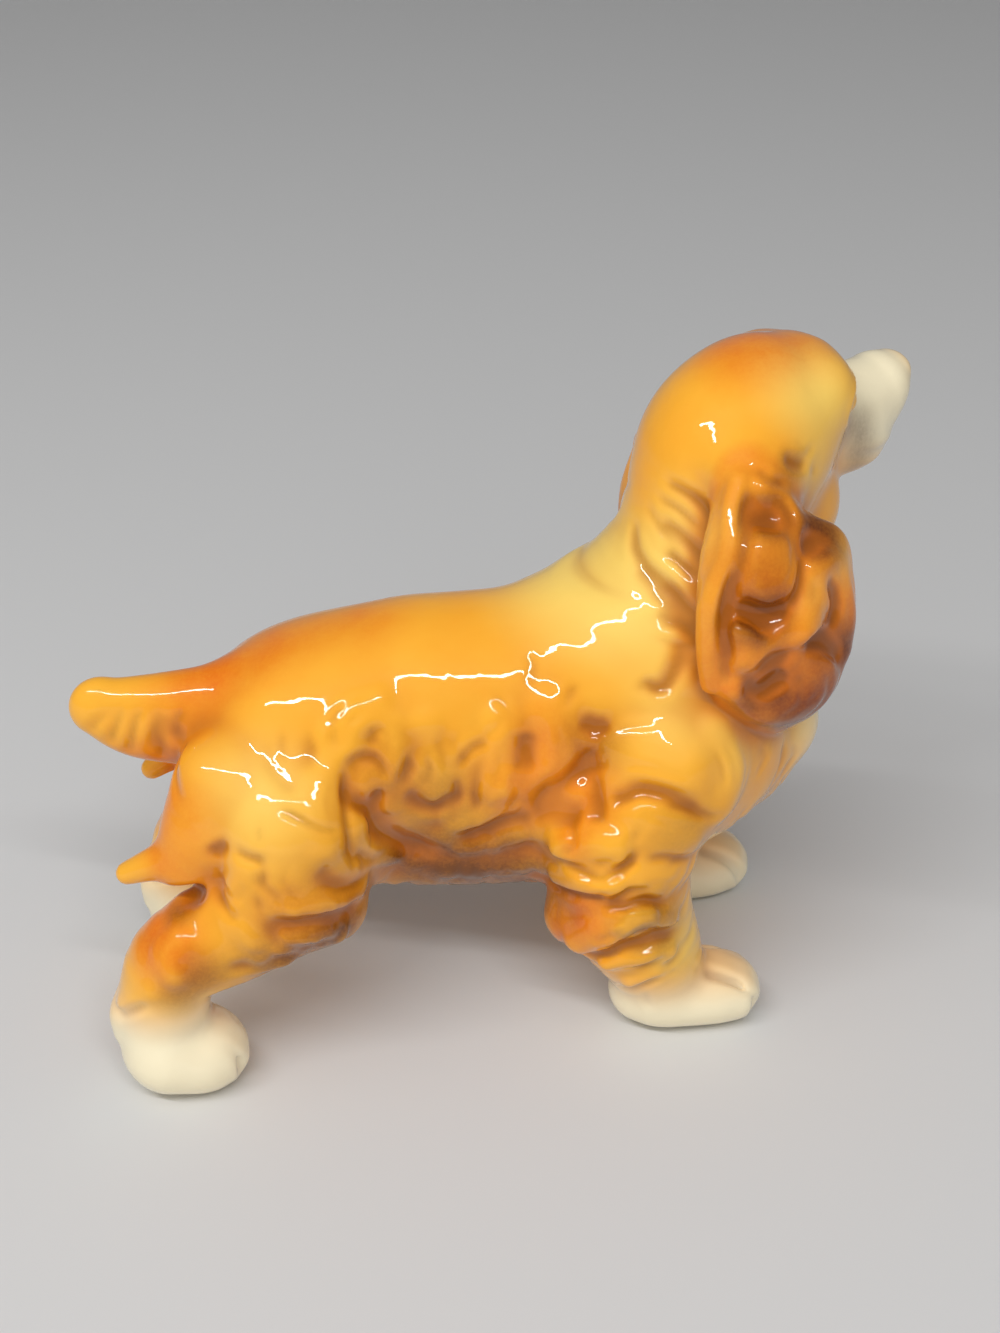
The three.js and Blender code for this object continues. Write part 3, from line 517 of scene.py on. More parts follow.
def stroke(clay, points, width, depth, lip=0.14):
    """Presses a hollow along a line in space; a negative depth raises a ridge instead."""
    line = smooth_line(points, 4)
    pad = STROKE_REACH * width
    cut, place = window(line.min(0) - pad, line.max(0) + pad)
    nearest, share = 1e9, 0.0
    if len(line) == 1:
        nearest, share = squared([place[k] - line[0][k] for k in range(3)]), 0.5
    for i, t, off in along_line(line, place):
        gap = squared(off)
        closer = gap < nearest
        share = np.where(closer, (i + t) / (len(line) - 1), share)
        nearest = np.where(closer, gap, nearest)
    away = np.sqrt(nearest) / width
    fade = END_DEPTH + (1 - END_DEPTH) * np.sqrt(np.clip(4 * share * (1 - share), 0, 1))
    pushed_up = (lip if depth > 0 else 0) * np.exp(-((away - LIP_PLACE) / LIP_WIDTH) ** 2)
    clay[cut] += (depth * fade * (np.exp(-away ** 2) - pushed_up)).astype(np.float32)


def comb(clay, strokes, side, shift=(0.0, 0.0), inner=False):
    """Lays strokes of the side view onto one side of the clay."""
    done = 0
    for width, depth, points in strokes:
        laid = []
        for x, z in points:
            y = skin(clay, x + shift[0], z + shift[1], side, inner)
            if y is not None:
                laid.append((x + shift[0], y, z + shift[1]))
        if laid:
            stroke(clay, laid, width, depth)
            done += 1
    return done


flank_side = skin(body, 0, 60, SIDES["right"])
print("the right flank lies", round(-flank_side, 1), "mm from the middle plane")

# %% Fine lines of the comb
STRAND_SEED, HAIR_SEED = 5, 9
WIDE_ROLL = 2.5
STRAND_WIDTH, STRAND_DEPTHS, STRAND_SHAKE = 0.6, (0.25, 0.45), 0.2
HAIR_WIDTHS, HAIR_DEPTHS = (0.6, 1.0), (0.2, 0.5)
HAIR_LENGTHS, HAIR_BEND, HAIR_WAVE = (4, 9), 1.3, 4.7


def strands_along(locks):
    """Thin lines side by side along each roll, as the teeth of a comb leave them."""
    draw = np.random.default_rng(STRAND_SEED)
    lines = []
    for _, _, stations in locks:
        line = smooth_line(stations, 4)
        if len(line) < 3:
            continue
        run = np.gradient(line[:, :2], axis=0)
        aside = np.stack([-run[:, 1], run[:, 0]], 1) / np.linalg.norm(run, axis=1, keepdims=True)
        teeth = 3 if line[:, 2].max() > WIDE_ROLL else 2
        for tooth in np.linspace(-0.5, 0.5, teeth):
            first = int(draw.integers(0, len(line) // 3 + 1))
            last = len(line) - int(draw.integers(0, len(line) // 3 + 1))
            shake = draw.uniform(-STRAND_SHAKE, STRAND_SHAKE)
            waved = line[:, :2] + aside * (tooth * line[:, 2:] + shake)
            depth = draw.uniform(*STRAND_DEPTHS)
            lines.append((STRAND_WIDTH, depth, [tuple(point) for point in waved[first:last:2]]))
    return lines


def hair_lines(patches):
    """Short wavy lines scattered over patches of the side view, each patch combed towards a point."""
    draw = np.random.default_rng(HAIR_SEED)
    lines = []
    for count, low, high, goal in patches:
        for _ in range(count):
            start = draw.uniform(low, high)
            way = (np.array(goal) - start) / np.linalg.norm(np.array(goal) - start)
            aside = np.array([-way[1], way[0]])
            length, bend = draw.uniform(*HAIR_LENGTHS), draw.uniform(-HAIR_BEND, HAIR_BEND)
            line = [start + way * length * t + aside * bend * math.sin(HAIR_WAVE * t)
                    for t in (0, 0.33, 0.67, 1)]
            width, depth = draw.uniform(*HAIR_WIDTHS), draw.uniform(*HAIR_DEPTHS)
            lines.append((width, depth, [tuple(point) for point in line]))
    return lines


print("seeds of the fine lines:", STRAND_SEED, HAIR_SEED)

# %% [markdown]
# ### Locks
# A lock of hair is a roll of clay that tapers, half sunk in the surface. Where two rolls meet, a
# narrow crease is left between round crests, which no brush stroke gives as well. Each roll is
# how proud it stands, how far it melts in, and its (forward, up, radius) stations.

# %% Rolls of clay on the flank, thigh and foreleg
FLANK_SHIFT = {-1: (0.0, 0.0), 1: (-1.5, 0.5)}
FLANK_LOCKS = [
    (0.8, 2.0, [(-15.9, 70, 3.2), (-15.5, 64.7, 3.8), (-14.6, 58.8, 3.4)]),
    (1.0, 1.6, [(-3.9, 57.6, 3), (-7.3, 52, 3.4), (-11.6, 46.4, 3)]),
    (0.8, 1.4, [(-29.6, 67, 1.8), (-27.2, 70.9, 2), (-22.9, 71.7, 2), (-20.8, 67.6, 2), (-21.8, 61.5, 2),
                (-22, 56, 1.8)]),
    (0.9, 1.6, [(-26.4, 61.6, 3.2)]),
    (1.0, 1.8, [(-28.4, 55, 2.6), (-26, 49, 3), (-22, 43.5, 2.6)]),
    (1.0, 2.6, [(5.4, 71.6, 4), (6.9, 66.4, 4.6), (6.1, 60.5, 4)]),
    (0.8, 1.4, [(9.4, 56.9, 2.8)]),
    (0.8, 2.0, [(-3.2, 70.4, 3), (-2.1, 64.1, 3.4), (-3.9, 58.5, 3)]),
    (0.9, 1.2, [(-9.8, 43.4, 1.8), (-4.9, 43.9, 1.9), (-0.1, 46.3, 1.8)]),
    (0.5, 2.0, [(-12, 37.5, 2.4), (-1, 37.8, 2.4), (6, 40, 2.4)]),
    (0.6, 1.6, [(-23.2, 75, 2), (-28.4, 73.8, 2.2), (-33, 70, 2)]),
    (0.9, 3.0, [(16.7, 66.3, 5), (21.5, 66.9, 6), (28.1, 64.6, 5)]),
    (0.8, 2.2, [(34, 68, 4), (37, 60, 4.4), (35, 53, 4)]),
]
THIGH_LOCKS = [
    (0.8, 2.0, [(-32.5, 66.4, 3), (-35.2, 61.7, 3.4), (-34, 54, 3.2)]),
    (0.9, 1.8, [(-28.5, 41, 3), (-34.5, 43, 3.2), (-40.5, 43, 3)]),
    (1.0, 1.4, [(-32.8, 32.8, 2.6), (-38.2, 35.4, 3), (-42.6, 35.8, 2.6)]),
    (0.9, 1.4, [(-42.7, 31, 2.4), (-47.5, 31, 2.2)]),
    (0.8, 2.0, [(-49, 50, 3), (-50.5, 42, 3), (-48, 37, 2.4)]),
    (1.3, 1.6, [(-60.5, 36, 3.4), (-62.5, 33.5, 3.8), (-62, 30.5, 3)]),
    (0.7, 1.4, [(-66.2, 26.6, 2.2), (-71.4, 21.4, 2)]),
]
FORELEG_LOCKS = [
    (0.6, 2.4, [(19.1, 54.8, 4), (22.5, 52.9, 4), (28.3, 49.3, 3.5)]),
    (0.6, 2.0, [(30, 40, 3), (25.4, 41.5, 3.2), (19.2, 43.2, 3)]),
    (2.2, 1.4, [(14.5, 50, 4), (10.6, 49, 4.9), (7.4, 46.6, 3.8)]),
    (1.9, 1.1, [(14.4, 42.4, 3), (10, 41.6, 3.6), (6.8, 39.6, 2.6)]),
    (2.2, 1.3, [(19, 35.4, 2.8), (14.4, 31.4, 4.7), (10.2, 26, 3.8)]),
    (1.1, 1.2, [(26, 32, 2), (21, 34.6, 2.4), (17, 33.6, 2.4)]),
    (1.3, 1.0, [(25.8, 24.4, 2.2), (19.6, 24.4, 2.8), (15, 21.6, 2.2)]),
    (0.9, 1.0, [(24.2, 19.4, 2), (19.4, 16.4, 2)]),
]
laid = 0
for side in SIDES.values():
    laid += add_locks(body, FLANK_LOCKS, side, FLANK_SHIFT[side])
for side in SIDES.values():
    laid += add_locks(body, THIGH_LOCKS, side, (HIND_STEP[side], 0))
    laid += add_locks(body, FORELEG_LOCKS, side, (FORE_STEP[side], 0))
    laid += add_locks(body, FORELEG_LOCKS[2:], side, (FORE_STEP[side], 0), inner=True)
print("locks laid:", laid)

# %% [markdown]
# ### Strokes between the locks
# Each stroke is its width, its depth and its (forward, up) points. A patch of fine hair lines is
# how many there are, the low and the high corner of the patch, and the point they run towards.

# %% Strokes of the flank, thigh and foreleg
FLANK = [
    (0.9, 1.0, [(-29.7, 65.8), (-27.8, 66.4), (-25.4, 66), (-24.8, 65)]),
    (1.5, 0.6, [(-27.1, 68.9), (-25, 70.9), (-23.1, 71.5), (-21.6, 70.1), (-20.7, 68.2)]),
    (0.7, 0.6, [(-24.5, 64.9), (-23.2, 63.1), (-22.1, 61.9)]),
    (3.2, 0.8, [(-16.3, 68)]),
    (1.2, 1.1, [(-18.8, 65.1), (-20.1, 62.2), (-21.4, 59.6), (-21.7, 57.2), (-21, 55)]),
    (1.3, 1.2, [(-30, 62), (-29.7, 60.3), (-27.9, 58.1), (-25.9, 56.6), (-24.8, 58.4), (-23.8, 59.6)]),
    (2.1, 2.0, [(-26.6, 56), (-24.5, 50.9), (-21.4, 46.2), (-18.4, 44), (-14.5, 41.5)]),
    (1.3, 1.5, [(-19.5, 58.1), (-18.1, 56), (-16.1, 54.4), (-14.2, 54.3), (-12.3, 56.1), (-10.9, 56.6)]),
    (0.8, 0.9, [(-10.6, 62.9), (-9.3, 64.8), (-7.8, 66.2), (-5.9, 67)]),
    (0.9, 0.6, [(-11.3, 60.2), (-10.6, 57.8), (-10.9, 55.3)]),
    (0.6, 0.5, [(-8, 56.4), (-7.7, 53.9)]),
    (0.6, 0.5, [(-6.6, 56.4), (-6.4, 54.2)]),
    (2.3, 1.4, [(0.9, 68), (0.3, 65.2), (-0.8, 61.6)]),
    (1.6, 1.6, [(-11, 45.8), (-9.7, 46.6), (-5.8, 48), (-2, 50), (1.8, 50.7)]),
    (2.4, 0.9, [(2.4, 51), (5.4, 52.1), (9.5, 52.4)]),
    (0.7, 0.6, [(-9.4, 40), (-9.2, 37)]),
    (0.7, 0.6, [(-7, 39.5), (-6.8, 36)]),
    (0.7, 0.6, [(-4.2, 40.1), (-4, 36.5)]),
    (0.7, 0.6, [(-2, 40.2), (-1.8, 36.5)]),
    (1.5, 1.7, [(10.8, 70), (13.1, 68.8), (15, 69.4)]),
    (2.0, 1.4, [(1.4, 53.2), (5.5, 57.4), (8.3, 59.4), (11.2, 61.8), (12.6, 64.3)]),
    (1.5, 1.6, [(14.6, 56.9), (16.8, 58.3), (19.5, 59.7), (23.1, 59.5), (27, 57.7), (29.6, 55.4)]),
    (1.2, 1.1, [(12.8, 60), (12.9, 55.7), (12.4, 53.5)]),
    (0.8, 0.7, [(20.2, 75.3), (21.7, 76.5), (23.5, 75.6), (25.4, 75.9), (27, 78.1), (28, 79.7)]),
    (0.9, 0.8, [(-30.3, 64.7), (-30.9, 60.7), (-30.6, 56.5), (-30.4, 51.7), (-29.6, 46.9)]),
    (0.8, 0.6, [(-31.9, 72), (-30.6, 73.6), (-29.3, 74.5)]),
    (0.7, 0.5, [(-32.2, 69.3), (-31.4, 71), (-30.5, 72.1)]),
    (1.0, 0.8, [(-28.9, 50.4), (-26.2, 46.2), (-22.9, 44.2)]),
    (0.8, 0.5, [(-3.4, 73.9), (-1.7, 71.7), (-1.4, 70)]),
    (0.8, 0.5, [(-2.7, 71.4), (-3.8, 69.7), (-5.8, 68)]),
    (0.9, 0.4, [(3, 79.2), (3.2, 77.5), (2.5, 75.6)]),
    (0.9, 0.4, [(7.7, 72.3), (8.8, 74.2), (10.2, 75.6)]),
]
THIGH = [
    (0.8, 0.35, [(-40, 70.7), (-40.4, 68.6), (-40.2, 66.9)]),
    (1.3, 0.3, [(-42.7, 68.8), (-42.6, 66.3), (-40.6, 64.2), (-39, 63.6)]),
    (1.3, 0.3, [(-35.2, 71.1), (-35.5, 68.6), (-35.3, 66.6), (-32.5, 65.8)]),
    (0.8, 0.35, [(-29.7, 74), (-31.4, 72.4), (-32.2, 70)]),
    (0.9, 1.0, [(-41.4, 61.5), (-38.4, 60.2), (-35.4, 58.3), (-32.3, 56.7)]),
    (0.9, 0.5, [(-45.4, 59.4), (-45.6, 55.9)]),
    (1.0, 0.8, [(-49.6, 54), (-47.2, 53.4), (-44.6, 53.8)]),
    (1.1, 1.2, [(-53.8, 51.4), (-52.7, 52.3), (-51, 54.3)]),
    (0.8, 0.8, [(-52.4, 46.4), (-51.5, 44.8), (-50.2, 45), (-49, 47.6)]),
    (1.2, 1.0, [(-52.8, 43.6), (-51.9, 42.2), (-50.9, 40.6)]),
    (1.8, 1.6, [(-36.2, 50.1), (-33.4, 46.6), (-30.1, 43.7), (-27, 41.6)]),
    (1.8, 1.9, [(-45.8, 38.6), (-42.6, 40.2), (-37.8, 40.2), (-32.7, 38.9), (-29.6, 37.6)]),
    (1.2, 1.1, [(-44.6, 37.4), (-41.7, 35.1), (-38.1, 33.8), (-34, 33.6)]),
    (1.3, 1.3, [(-52.4, 30.6), (-49.6, 31.2), (-46.6, 30.4), (-43.7, 31.7), (-40.4, 31.8)]),
    (2.4, 2.3, [(-64, 40.4), (-60.5, 39.4), (-57.6, 41.2)]),
    (0.5, 0.4, [(-61.4, 42), (-60.2, 39.4), (-59.6, 36.6)]),
    (0.5, 0.4, [(-59.4, 42.6), (-58.4, 39.8), (-57.6, 37.2)]),
    (1.0, 1.1, [(-72.6, 18.6), (-70, 21.4), (-67.3, 24)]),
]
FORELEG = [
    (0.9, 1.5, [(4.6, 44.8), (7, 44.4), (9.5, 43.8), (12.3, 43.7), (14.9, 44.7), (16.9, 46.4), (18.5, 48.4)]),
    (1.2, 1.4, [(5.6, 34.6), (7.9, 36.7), (10.2, 37.9), (13.2, 38.6)]),
    (0.9, 1.2, [(13.8, 37), (16.2, 40.1), (18.2, 41), (21, 40.8)]),
    (1.0, 1.2, [(14.3, 37), (17.1, 37.7), (20, 38.3), (23.8, 36.4)]),
    (0.7, 0.5, [(14.8, 34.7), (16.8, 35.4)]),
    (1.0, 1.2, [(15.6, 27.4), (16.7, 29.1), (17.8, 31), (19.8, 32.2), (22.1, 32)]),
    (1.7, 1.6, [(16.7, 27.7), (20.5, 28.1), (23.2, 28.8), (26.7, 27.4)]),
    (1.2, 1.1, [(9.4, 21.6), (12.7, 23), (15, 25), (16.8, 27.3)]),
    (0.9, 0.9, [(20, 21.6), (22.7, 22.9), (25, 24)]),
    (1.0, 1.2, [(18.4, 12.4), (20.7, 15.1), (22.5, 16.7), (24.5, 18.8)]),
    (0.9, 0.8, [(20.6, 47.4), (24.1, 46.9), (27, 45.2), (30, 43.6)]),
    (1.0, 0.8, [(23.8, 57.1), (27.2, 56.2), (30, 54.5), (34.2, 52.3)]),
    (0.6, 0.4, [(26, 18.4), (27.4, 18.6), (29.7, 17)]),
    (0.8, 0.5, [(22.3, 13.3), (23, 10.5), (23.6, 8.3)]),
]
HAIR = [
    (46, (-30, 44), (14, 72), (-10, 0)),
    (20, (-47, 34), (-30, 56), (-38, 0)),
    (22, (-26, 31), (8, 41), (-10, -60)),
    (30, (8, 22), (34, 60), (2, 0)),
    (14, (22, 80), (30, 102), (42, 78)),
    (10, (40, 44), (56, 62), (46, 0)),
]
laid = 0
for side in SIDES.values():
    for strokes in (FLANK, strands_along(FLANK_LOCKS), hair_lines(HAIR)):
        laid += comb(body, strokes, side, FLANK_SHIFT[side])
for side in SIDES.values():
    hind_shift, fore_shift = (HIND_STEP[side], 0), (FORE_STEP[side], 0)
    laid += comb(body, THIGH, side, hind_shift)
    laid += comb(body, THIGH[-6:], side, hind_shift, inner=True)
    laid += comb(body, FORELEG, side, fore_shift)
    laid += comb(body, strands_along(THIGH_LOCKS), side, hind_shift)
    laid += comb(body, strands_along(FORELEG_LOCKS), side, fore_shift)
    laid += comb(body, FORELEG[:10], side, fore_shift, inner=True)
print("strokes on the flanks and legs:", laid)

# %% Tail, neck, face and toes
TAIL = [
    (1.0, 0.7, [(-68.2, 70.7), (-71.3, 68), (-72, 66)]),
    (1.1, 0.9, [(-65.9, 71.2), (-68.1, 67), (-69, 63.5)]),
    (1.1, 1.0, [(-63, 70.7), (-64.5, 68.5), (-65.6, 64.6), (-66.2, 61.5)]),
    (1.1, 0.9, [(-60.3, 70.7), (-61.8, 67.1), (-62.9, 62.3)]),
    (1.1, 1.0, [(-58.8, 69.8), (-60.3, 66.2), (-61, 60.4)]),
    (1.1, 0.9, [(-56.4, 70.4), (-58, 66.2), (-58, 60)]),
]
NECK = [
    (1.1, 1.1, [(27.4, 106.6), (29.8, 106), (32.4, 104.4), (34, 102)]),
    (1.1, 1.1, [(26.6, 100.2), (29, 99), (31, 97.2), (32, 94.6)]),
    (1.1, 0.9, [(22.8, 97.6), (22.4, 94.8), (23.6, 93), (26.6, 91.2), (28.8, 88.6)]),
    (1.5, 1.0, [(22, 92.3), (24.6, 90.4), (27, 89.3), (30.6, 86.6)]),
    (1.4, 1.1, [(24.6, 87.3), (26.8, 86.2), (30.6, 84.2)]),
    (0.9, 0.7, [(26.4, 103.8), (29, 102.8), (31.6, 100.6)]),
    (1.5, 0.9, [(21.6, 76), (24.2, 75.6), (26.9, 79.4), (28.5, 82.9)]),
    (1.0, 0.6, [(26.5, 95.6), (28.6, 94.8), (31.6, 92.4)]),
]
CHEEK = [
    (1.1, 2.0, [(46.1, 112.8), (47.7, 111.6), (50.1, 110.2)]),
    (0.9, 1.5, [(40.6, 111.9), (42.5, 110.7), (45.1, 109.2)]),
    (0.7, 0.5, [(50.2, 112), (52, 112.2)]),
    (0.7, 0.5, [(51.5, 109.3), (52.7, 107.3)]),
    (0.8, 0.6, [(43.7, 107.5), (45.5, 105.3), (46.4, 103)]),
]
laid = 0
for strokes in (TAIL, NECK):
    for side in SIDES.values():
        laid += comb(body, strokes, side)


def comb_face(clay):
    """Stop between the brows, lids round the eyes, nostrils, the split lip and the mouth."""
    stroke(clay, [in_head(12, 0, 13), in_head(17, 0, 9), in_head(20, 0, 6.5)], 2.2, 0.8, 0)
    stroke(clay, [in_head(39.4, 0, 0), in_head(38.2, 0, -4), in_head(36, 0, -8)], 0.7, 0.8, 0)
    for side in SIDES.values():
        lids = [(15.6, 5.2, 3.6), (17.2, 7.6, 7.3), (14.4, 11.4, 7.0), (12, 12.8, 3.8), (15.4, 9.4, 1.6)]
        stroke(clay, [in_head(f, side * left, up) for f, left, up in lids], 0.9, 0.7, 0.5)
        lips = [(37.5, 2.5, -9), (32, 6.6, -10.5), (24, 8.4, -9.6), (17, 9.6, -7.5)]
        stroke(clay, [in_head(f, side * left, up) for f, left, up in lips], 1.0, 0.8, 0.3)
        stroke(clay, [in_head(38.8, side * 1.7, 1.4)], 0.8, 1.0, 0)


def comb_toes(clay, heel, y):
    """Three clefts part each paw into four toes; the middle one starts further back."""
    for across in (-4.2, 0.0, 4.2):
        back = 1.5 if across == 0 else 0
        top = (heel + 7 - back, y + 0.8 * across, 12.5)
        middle = (heel + 13, y + across, 9.5)
        tip = (heel + 18.5 - 0.3 * abs(across), y + 1.1 * across, 3.5)
        stroke(clay, [top, middle, tip], 1.1, 1.5, 0.25)


comb_face(body)
for side in SIDES.values():
    comb_toes(body, 28 + FORE_STEP[side], side * 18.8)
    comb_toes(body, -68 + HIND_STEP[side], side * 19.8)
print("strokes on tail and neck:", laid)

# %% [markdown]
# ## Ears
# The long ears are the most sculpted part: a thick flap with a rope of hair down its back edge,
# a second rope across it and deep pockets between round lobes. They are shaped as clay of their
# own, because only what stands proud of the head and neck belongs to the ear casting.

# %% Ears
EAR_LOCKS = [
    (0.9, 2.0, [(37.4, 111, 2.6), (39.6, 112, 3.8), (41.4, 110.2, 3.4)]),
    (1.6, 1.0, [(37.2, 110.2, 1.8), (35.8, 107.4, 2), (34.8, 103.2, 2), (33.8, 99.5, 2), (32, 95.6, 2.2),
                (31, 91.6, 2.4), (30.8, 87.2, 2.4), (31, 82.6, 2.4), (31.8, 77, 2)]),
    (1.0, 1.6, [(41.3, 109.2, 2.6), (44.3, 106.9, 2.9), (46, 104, 2.9), (46, 101, 2.7), (45.2, 98, 2.4),
                (43.6, 94.6, 2)]),
    (3.4, 1.6, [(39.6, 99.4, 7.6), (40.4, 96.8, 7.4)]),
    (2.2, 1.2, [(36, 88.2, 3), (36.8, 86, 3.4), (36.2, 83.6, 2.6)]),
    (2.1, 1.4, [(49.2, 96.4, 4.6), (48.8, 92.8, 7.4), (47.6, 89.8, 7.2)]),
    (1.5, 2.0, [(46.4, 88.4, 4), (43.2, 85.6, 4), (40, 83.6, 3.6), (37.6, 80.8, 3), (35.8, 77.4, 2.2)]),
    (1.2, 1.2, [(46.8, 86, 2.4), (46.4, 83.4, 2.6), (44.6, 80.4, 2.2)]),
    (1.3, 1.6, [(52.4, 98, 3), (54.6, 94.4, 3.6), (56.4, 89, 4), (57.6, 83.5, 4), (57.2, 78.5, 3.4)]),
    (2.6, 2.4, [(50.4, 77, 9), (50.2, 73.6, 11), (46.4, 72.4, 8)]),
    (0.9, 1.4, [(41.5, 70.5, 3), (38.6, 72, 3), (36, 75.4, 2.4)]),
]
EAR = [
    (2.6, 4.0, [(33.8, 109.6), (32, 105.4), (30.6, 101), (28.4, 96.6), (27.2, 92.4)]),
    (1.1, 1.6, [(38.2, 108.2), (36.9, 104), (35.3, 99.8), (34.1, 95.6), (33.4, 91.4), (33.4, 87), (34, 83)]),
    (2.2, 1.8, [(38.2, 105.6), (40.6, 105.2), (43, 105)]),
    (1.4, 1.4, [(36.4, 80.8), (37.6, 78.2), (38, 75.4)]),
    (1.6, 1.4, [(38.6, 80.4), (41.6, 82.6), (44, 82.4)]),
    (0.8, 0.6, [(42.6, 108.6), (44.9, 106), (45.2, 103.4)]),
    (0.6, 0.5, [(44.6, 100.8), (44.4, 98.6), (43, 96.4)]),
    (1.9, 2.4, [(35.4, 92.9), (38, 91.2), (41.2, 90.8), (43.4, 91.6)]),
    (0.9, 1.0, [(46.6, 99), (45.6, 95.4), (44, 92)]),
    (2.2, 2.0, [(47.2, 100.4), (50.2, 100.2), (53.4, 99.6)]),
    (1.1, 1.5, [(51.8, 94), (53.4, 90.6), (53.8, 87.6), (52.8, 85.4)]),
    (1.5, 2.4, [(47.2, 85.2), (50, 84), (53, 81.8), (55.6, 78.6)]),
    (1.5, 2.0, [(44, 79.6), (42, 77.6), (39.6, 75.8)]),
    (0.8, 0.5, [(45.8, 80), (47.5, 76.4), (47.2, 72.6), (44.2, 70.5)]),
    (0.8, 0.5, [(49.6, 81.4), (52.6, 76.5), (52.6, 71.6), (49.8, 68.4)]),
    (0.5, 0.5, [(32.2, 84.1), (32.9, 80.8), (34.3, 76.9)]),
    (0.5, 0.5, [(33.6, 83), (34.2, 80), (35.4, 76.6)]),
    (0.5, 0.4, [(31.2, 83), (31.9, 79.6), (33, 76)]),
]
for x in (36, 37.8, 39.4, 41, 42.4):
    EAR.append((0.5, 0.45, [(x - 0.2, 93.6), (x + 0.2, 91.4), (x, 89.2)]))
for x in (47.6, 48.8, 50.2):
    EAR.append((0.5, 0.3, [(x, 89.6), (x + 0.4, 87.4), (x + 0.2, 85.8)]))
FLAT = 0.42
NARROWER, SHORTER, THINNER = 0.8, 0.95, 0.9


def shape_right_ear(clay):
    add_swelling(clay, (42.5, -8.5, 106.5), (6.5, 5, 7), 4)
    stations = [(40.5, -10.5, 106.5, 6.5), (41, -16.5, 95, 11.5), (44, -19, 82, 14), (46, -17.5, 73, 10)]
    add_limb(clay, stations, 2, FLAT, (0.28, -0.96, 0))
    add_swelling(clay, (48.5, -15.5, 93.5), (10.3, 4.5, 9), 3, yaw=16)
    add_swelling(clay, (46.3, -16, 83.5), (14.6, 5, 15), 3, yaw=16)
    add_swelling(clay, (46, -16, 71.5), (10, 6, 9), 3, yaw=16)


def shape_left_ear(clay):
    stations = [(1, 12, -1, 7.5), (-1, 17, -14, 10.5), (-1, 18.5, -28, 12), (1, 18, -38, 9)]
    add_limb(clay, [(*in_head(f, left, up), r) for f, left, up, r in stations], 2, FLAT, HEAD_ROWS[1])


def comb_left_ear(clay):
    """The far ear has the same locks and strokes, turned with the head to where it hangs."""
    def to_left(x, z):
        place = in_head(NARROWER * (x - 45) + 2.5, 22.5, SHORTER * (z - 107.5))
        return place[0], place[2]

    locks, strokes = [], []
    for proud, melt, rod in EAR_LOCKS:
        locks.append((proud, melt, [(*to_left(x, z), THINNER * r) for x, z, r in rod]))
    for width, depth, line in EAR:
        strokes.append((width, depth, [to_left(x, z) for x, z in line]))
    add_locks(clay, locks, SIDES["left"])
    comb(clay, strokes, SIDES["left"])


EAR += strands_along(EAR_LOCKS)
ears = {"right_ear": fresh_clay(), "left_ear": fresh_clay()}
shape_right_ear(ears["right_ear"])
shape_left_ear(ears["left_ear"])
add_locks(ears["right_ear"], EAR_LOCKS, SIDES["right"])
comb(ears["right_ear"], EAR, SIDES["right"])
comb_left_ear(ears["left_ear"])
print("ear strokes:", len(EAR))

# %% [markdown]
# ## Parting the figure into its castings
# Every grain of clay now gets the name of the casting it belongs to, by the same cutting planes
# as the solids have. Single grains that a stroke has cut off go to the casting they touch. The
# surface is then drawn through the grid once for all castings, so that two of them share every
# point of their seam. That is what slip does on the real one: it fills the joint, and under the
# glaze no line is left.

# %% Naming the grains
NAMES = ["", "trunk", "head", "tail", "right_foreleg", "left_foreleg", "right_hindleg", "left_hindleg",
         "right_ear", "left_ear"]
X, Y, Z = (AXES[0][:, None, None], AXES[1][None, :, None], AXES[2][None, None, :])
HEAD_CUT, TAIL_CUT, FORE_CUT, HIND_CUT = 90, -54, 26, 42
NECK_FRONT, NECK_REAR, CUT_BEND = 105, -15, 35
NECK_FALL, NECK_RISE, REAR_RISE = 10, 9, 13
TAIL_LOW, TAIL_HIGH, TAIL_HALF_WIDTH = 53, 81, 9.8
TAIL_MIDDLE, TAIL_LEAN, LEAN_LIMIT = 66, 0.33, 5
FORE_REAR, HIND_FRONT = 2, -27
LEG_GAP, LEG_RISE, LEG_SPAN = 0.5, 36, 49.5
EAR_PROUD, EAR_REACH = 0.35, 1.0
EAR_MELT, CROWN_MELT, CROWN_LOW, CROWN_FADE = 1.0, 5.0, 98, 14


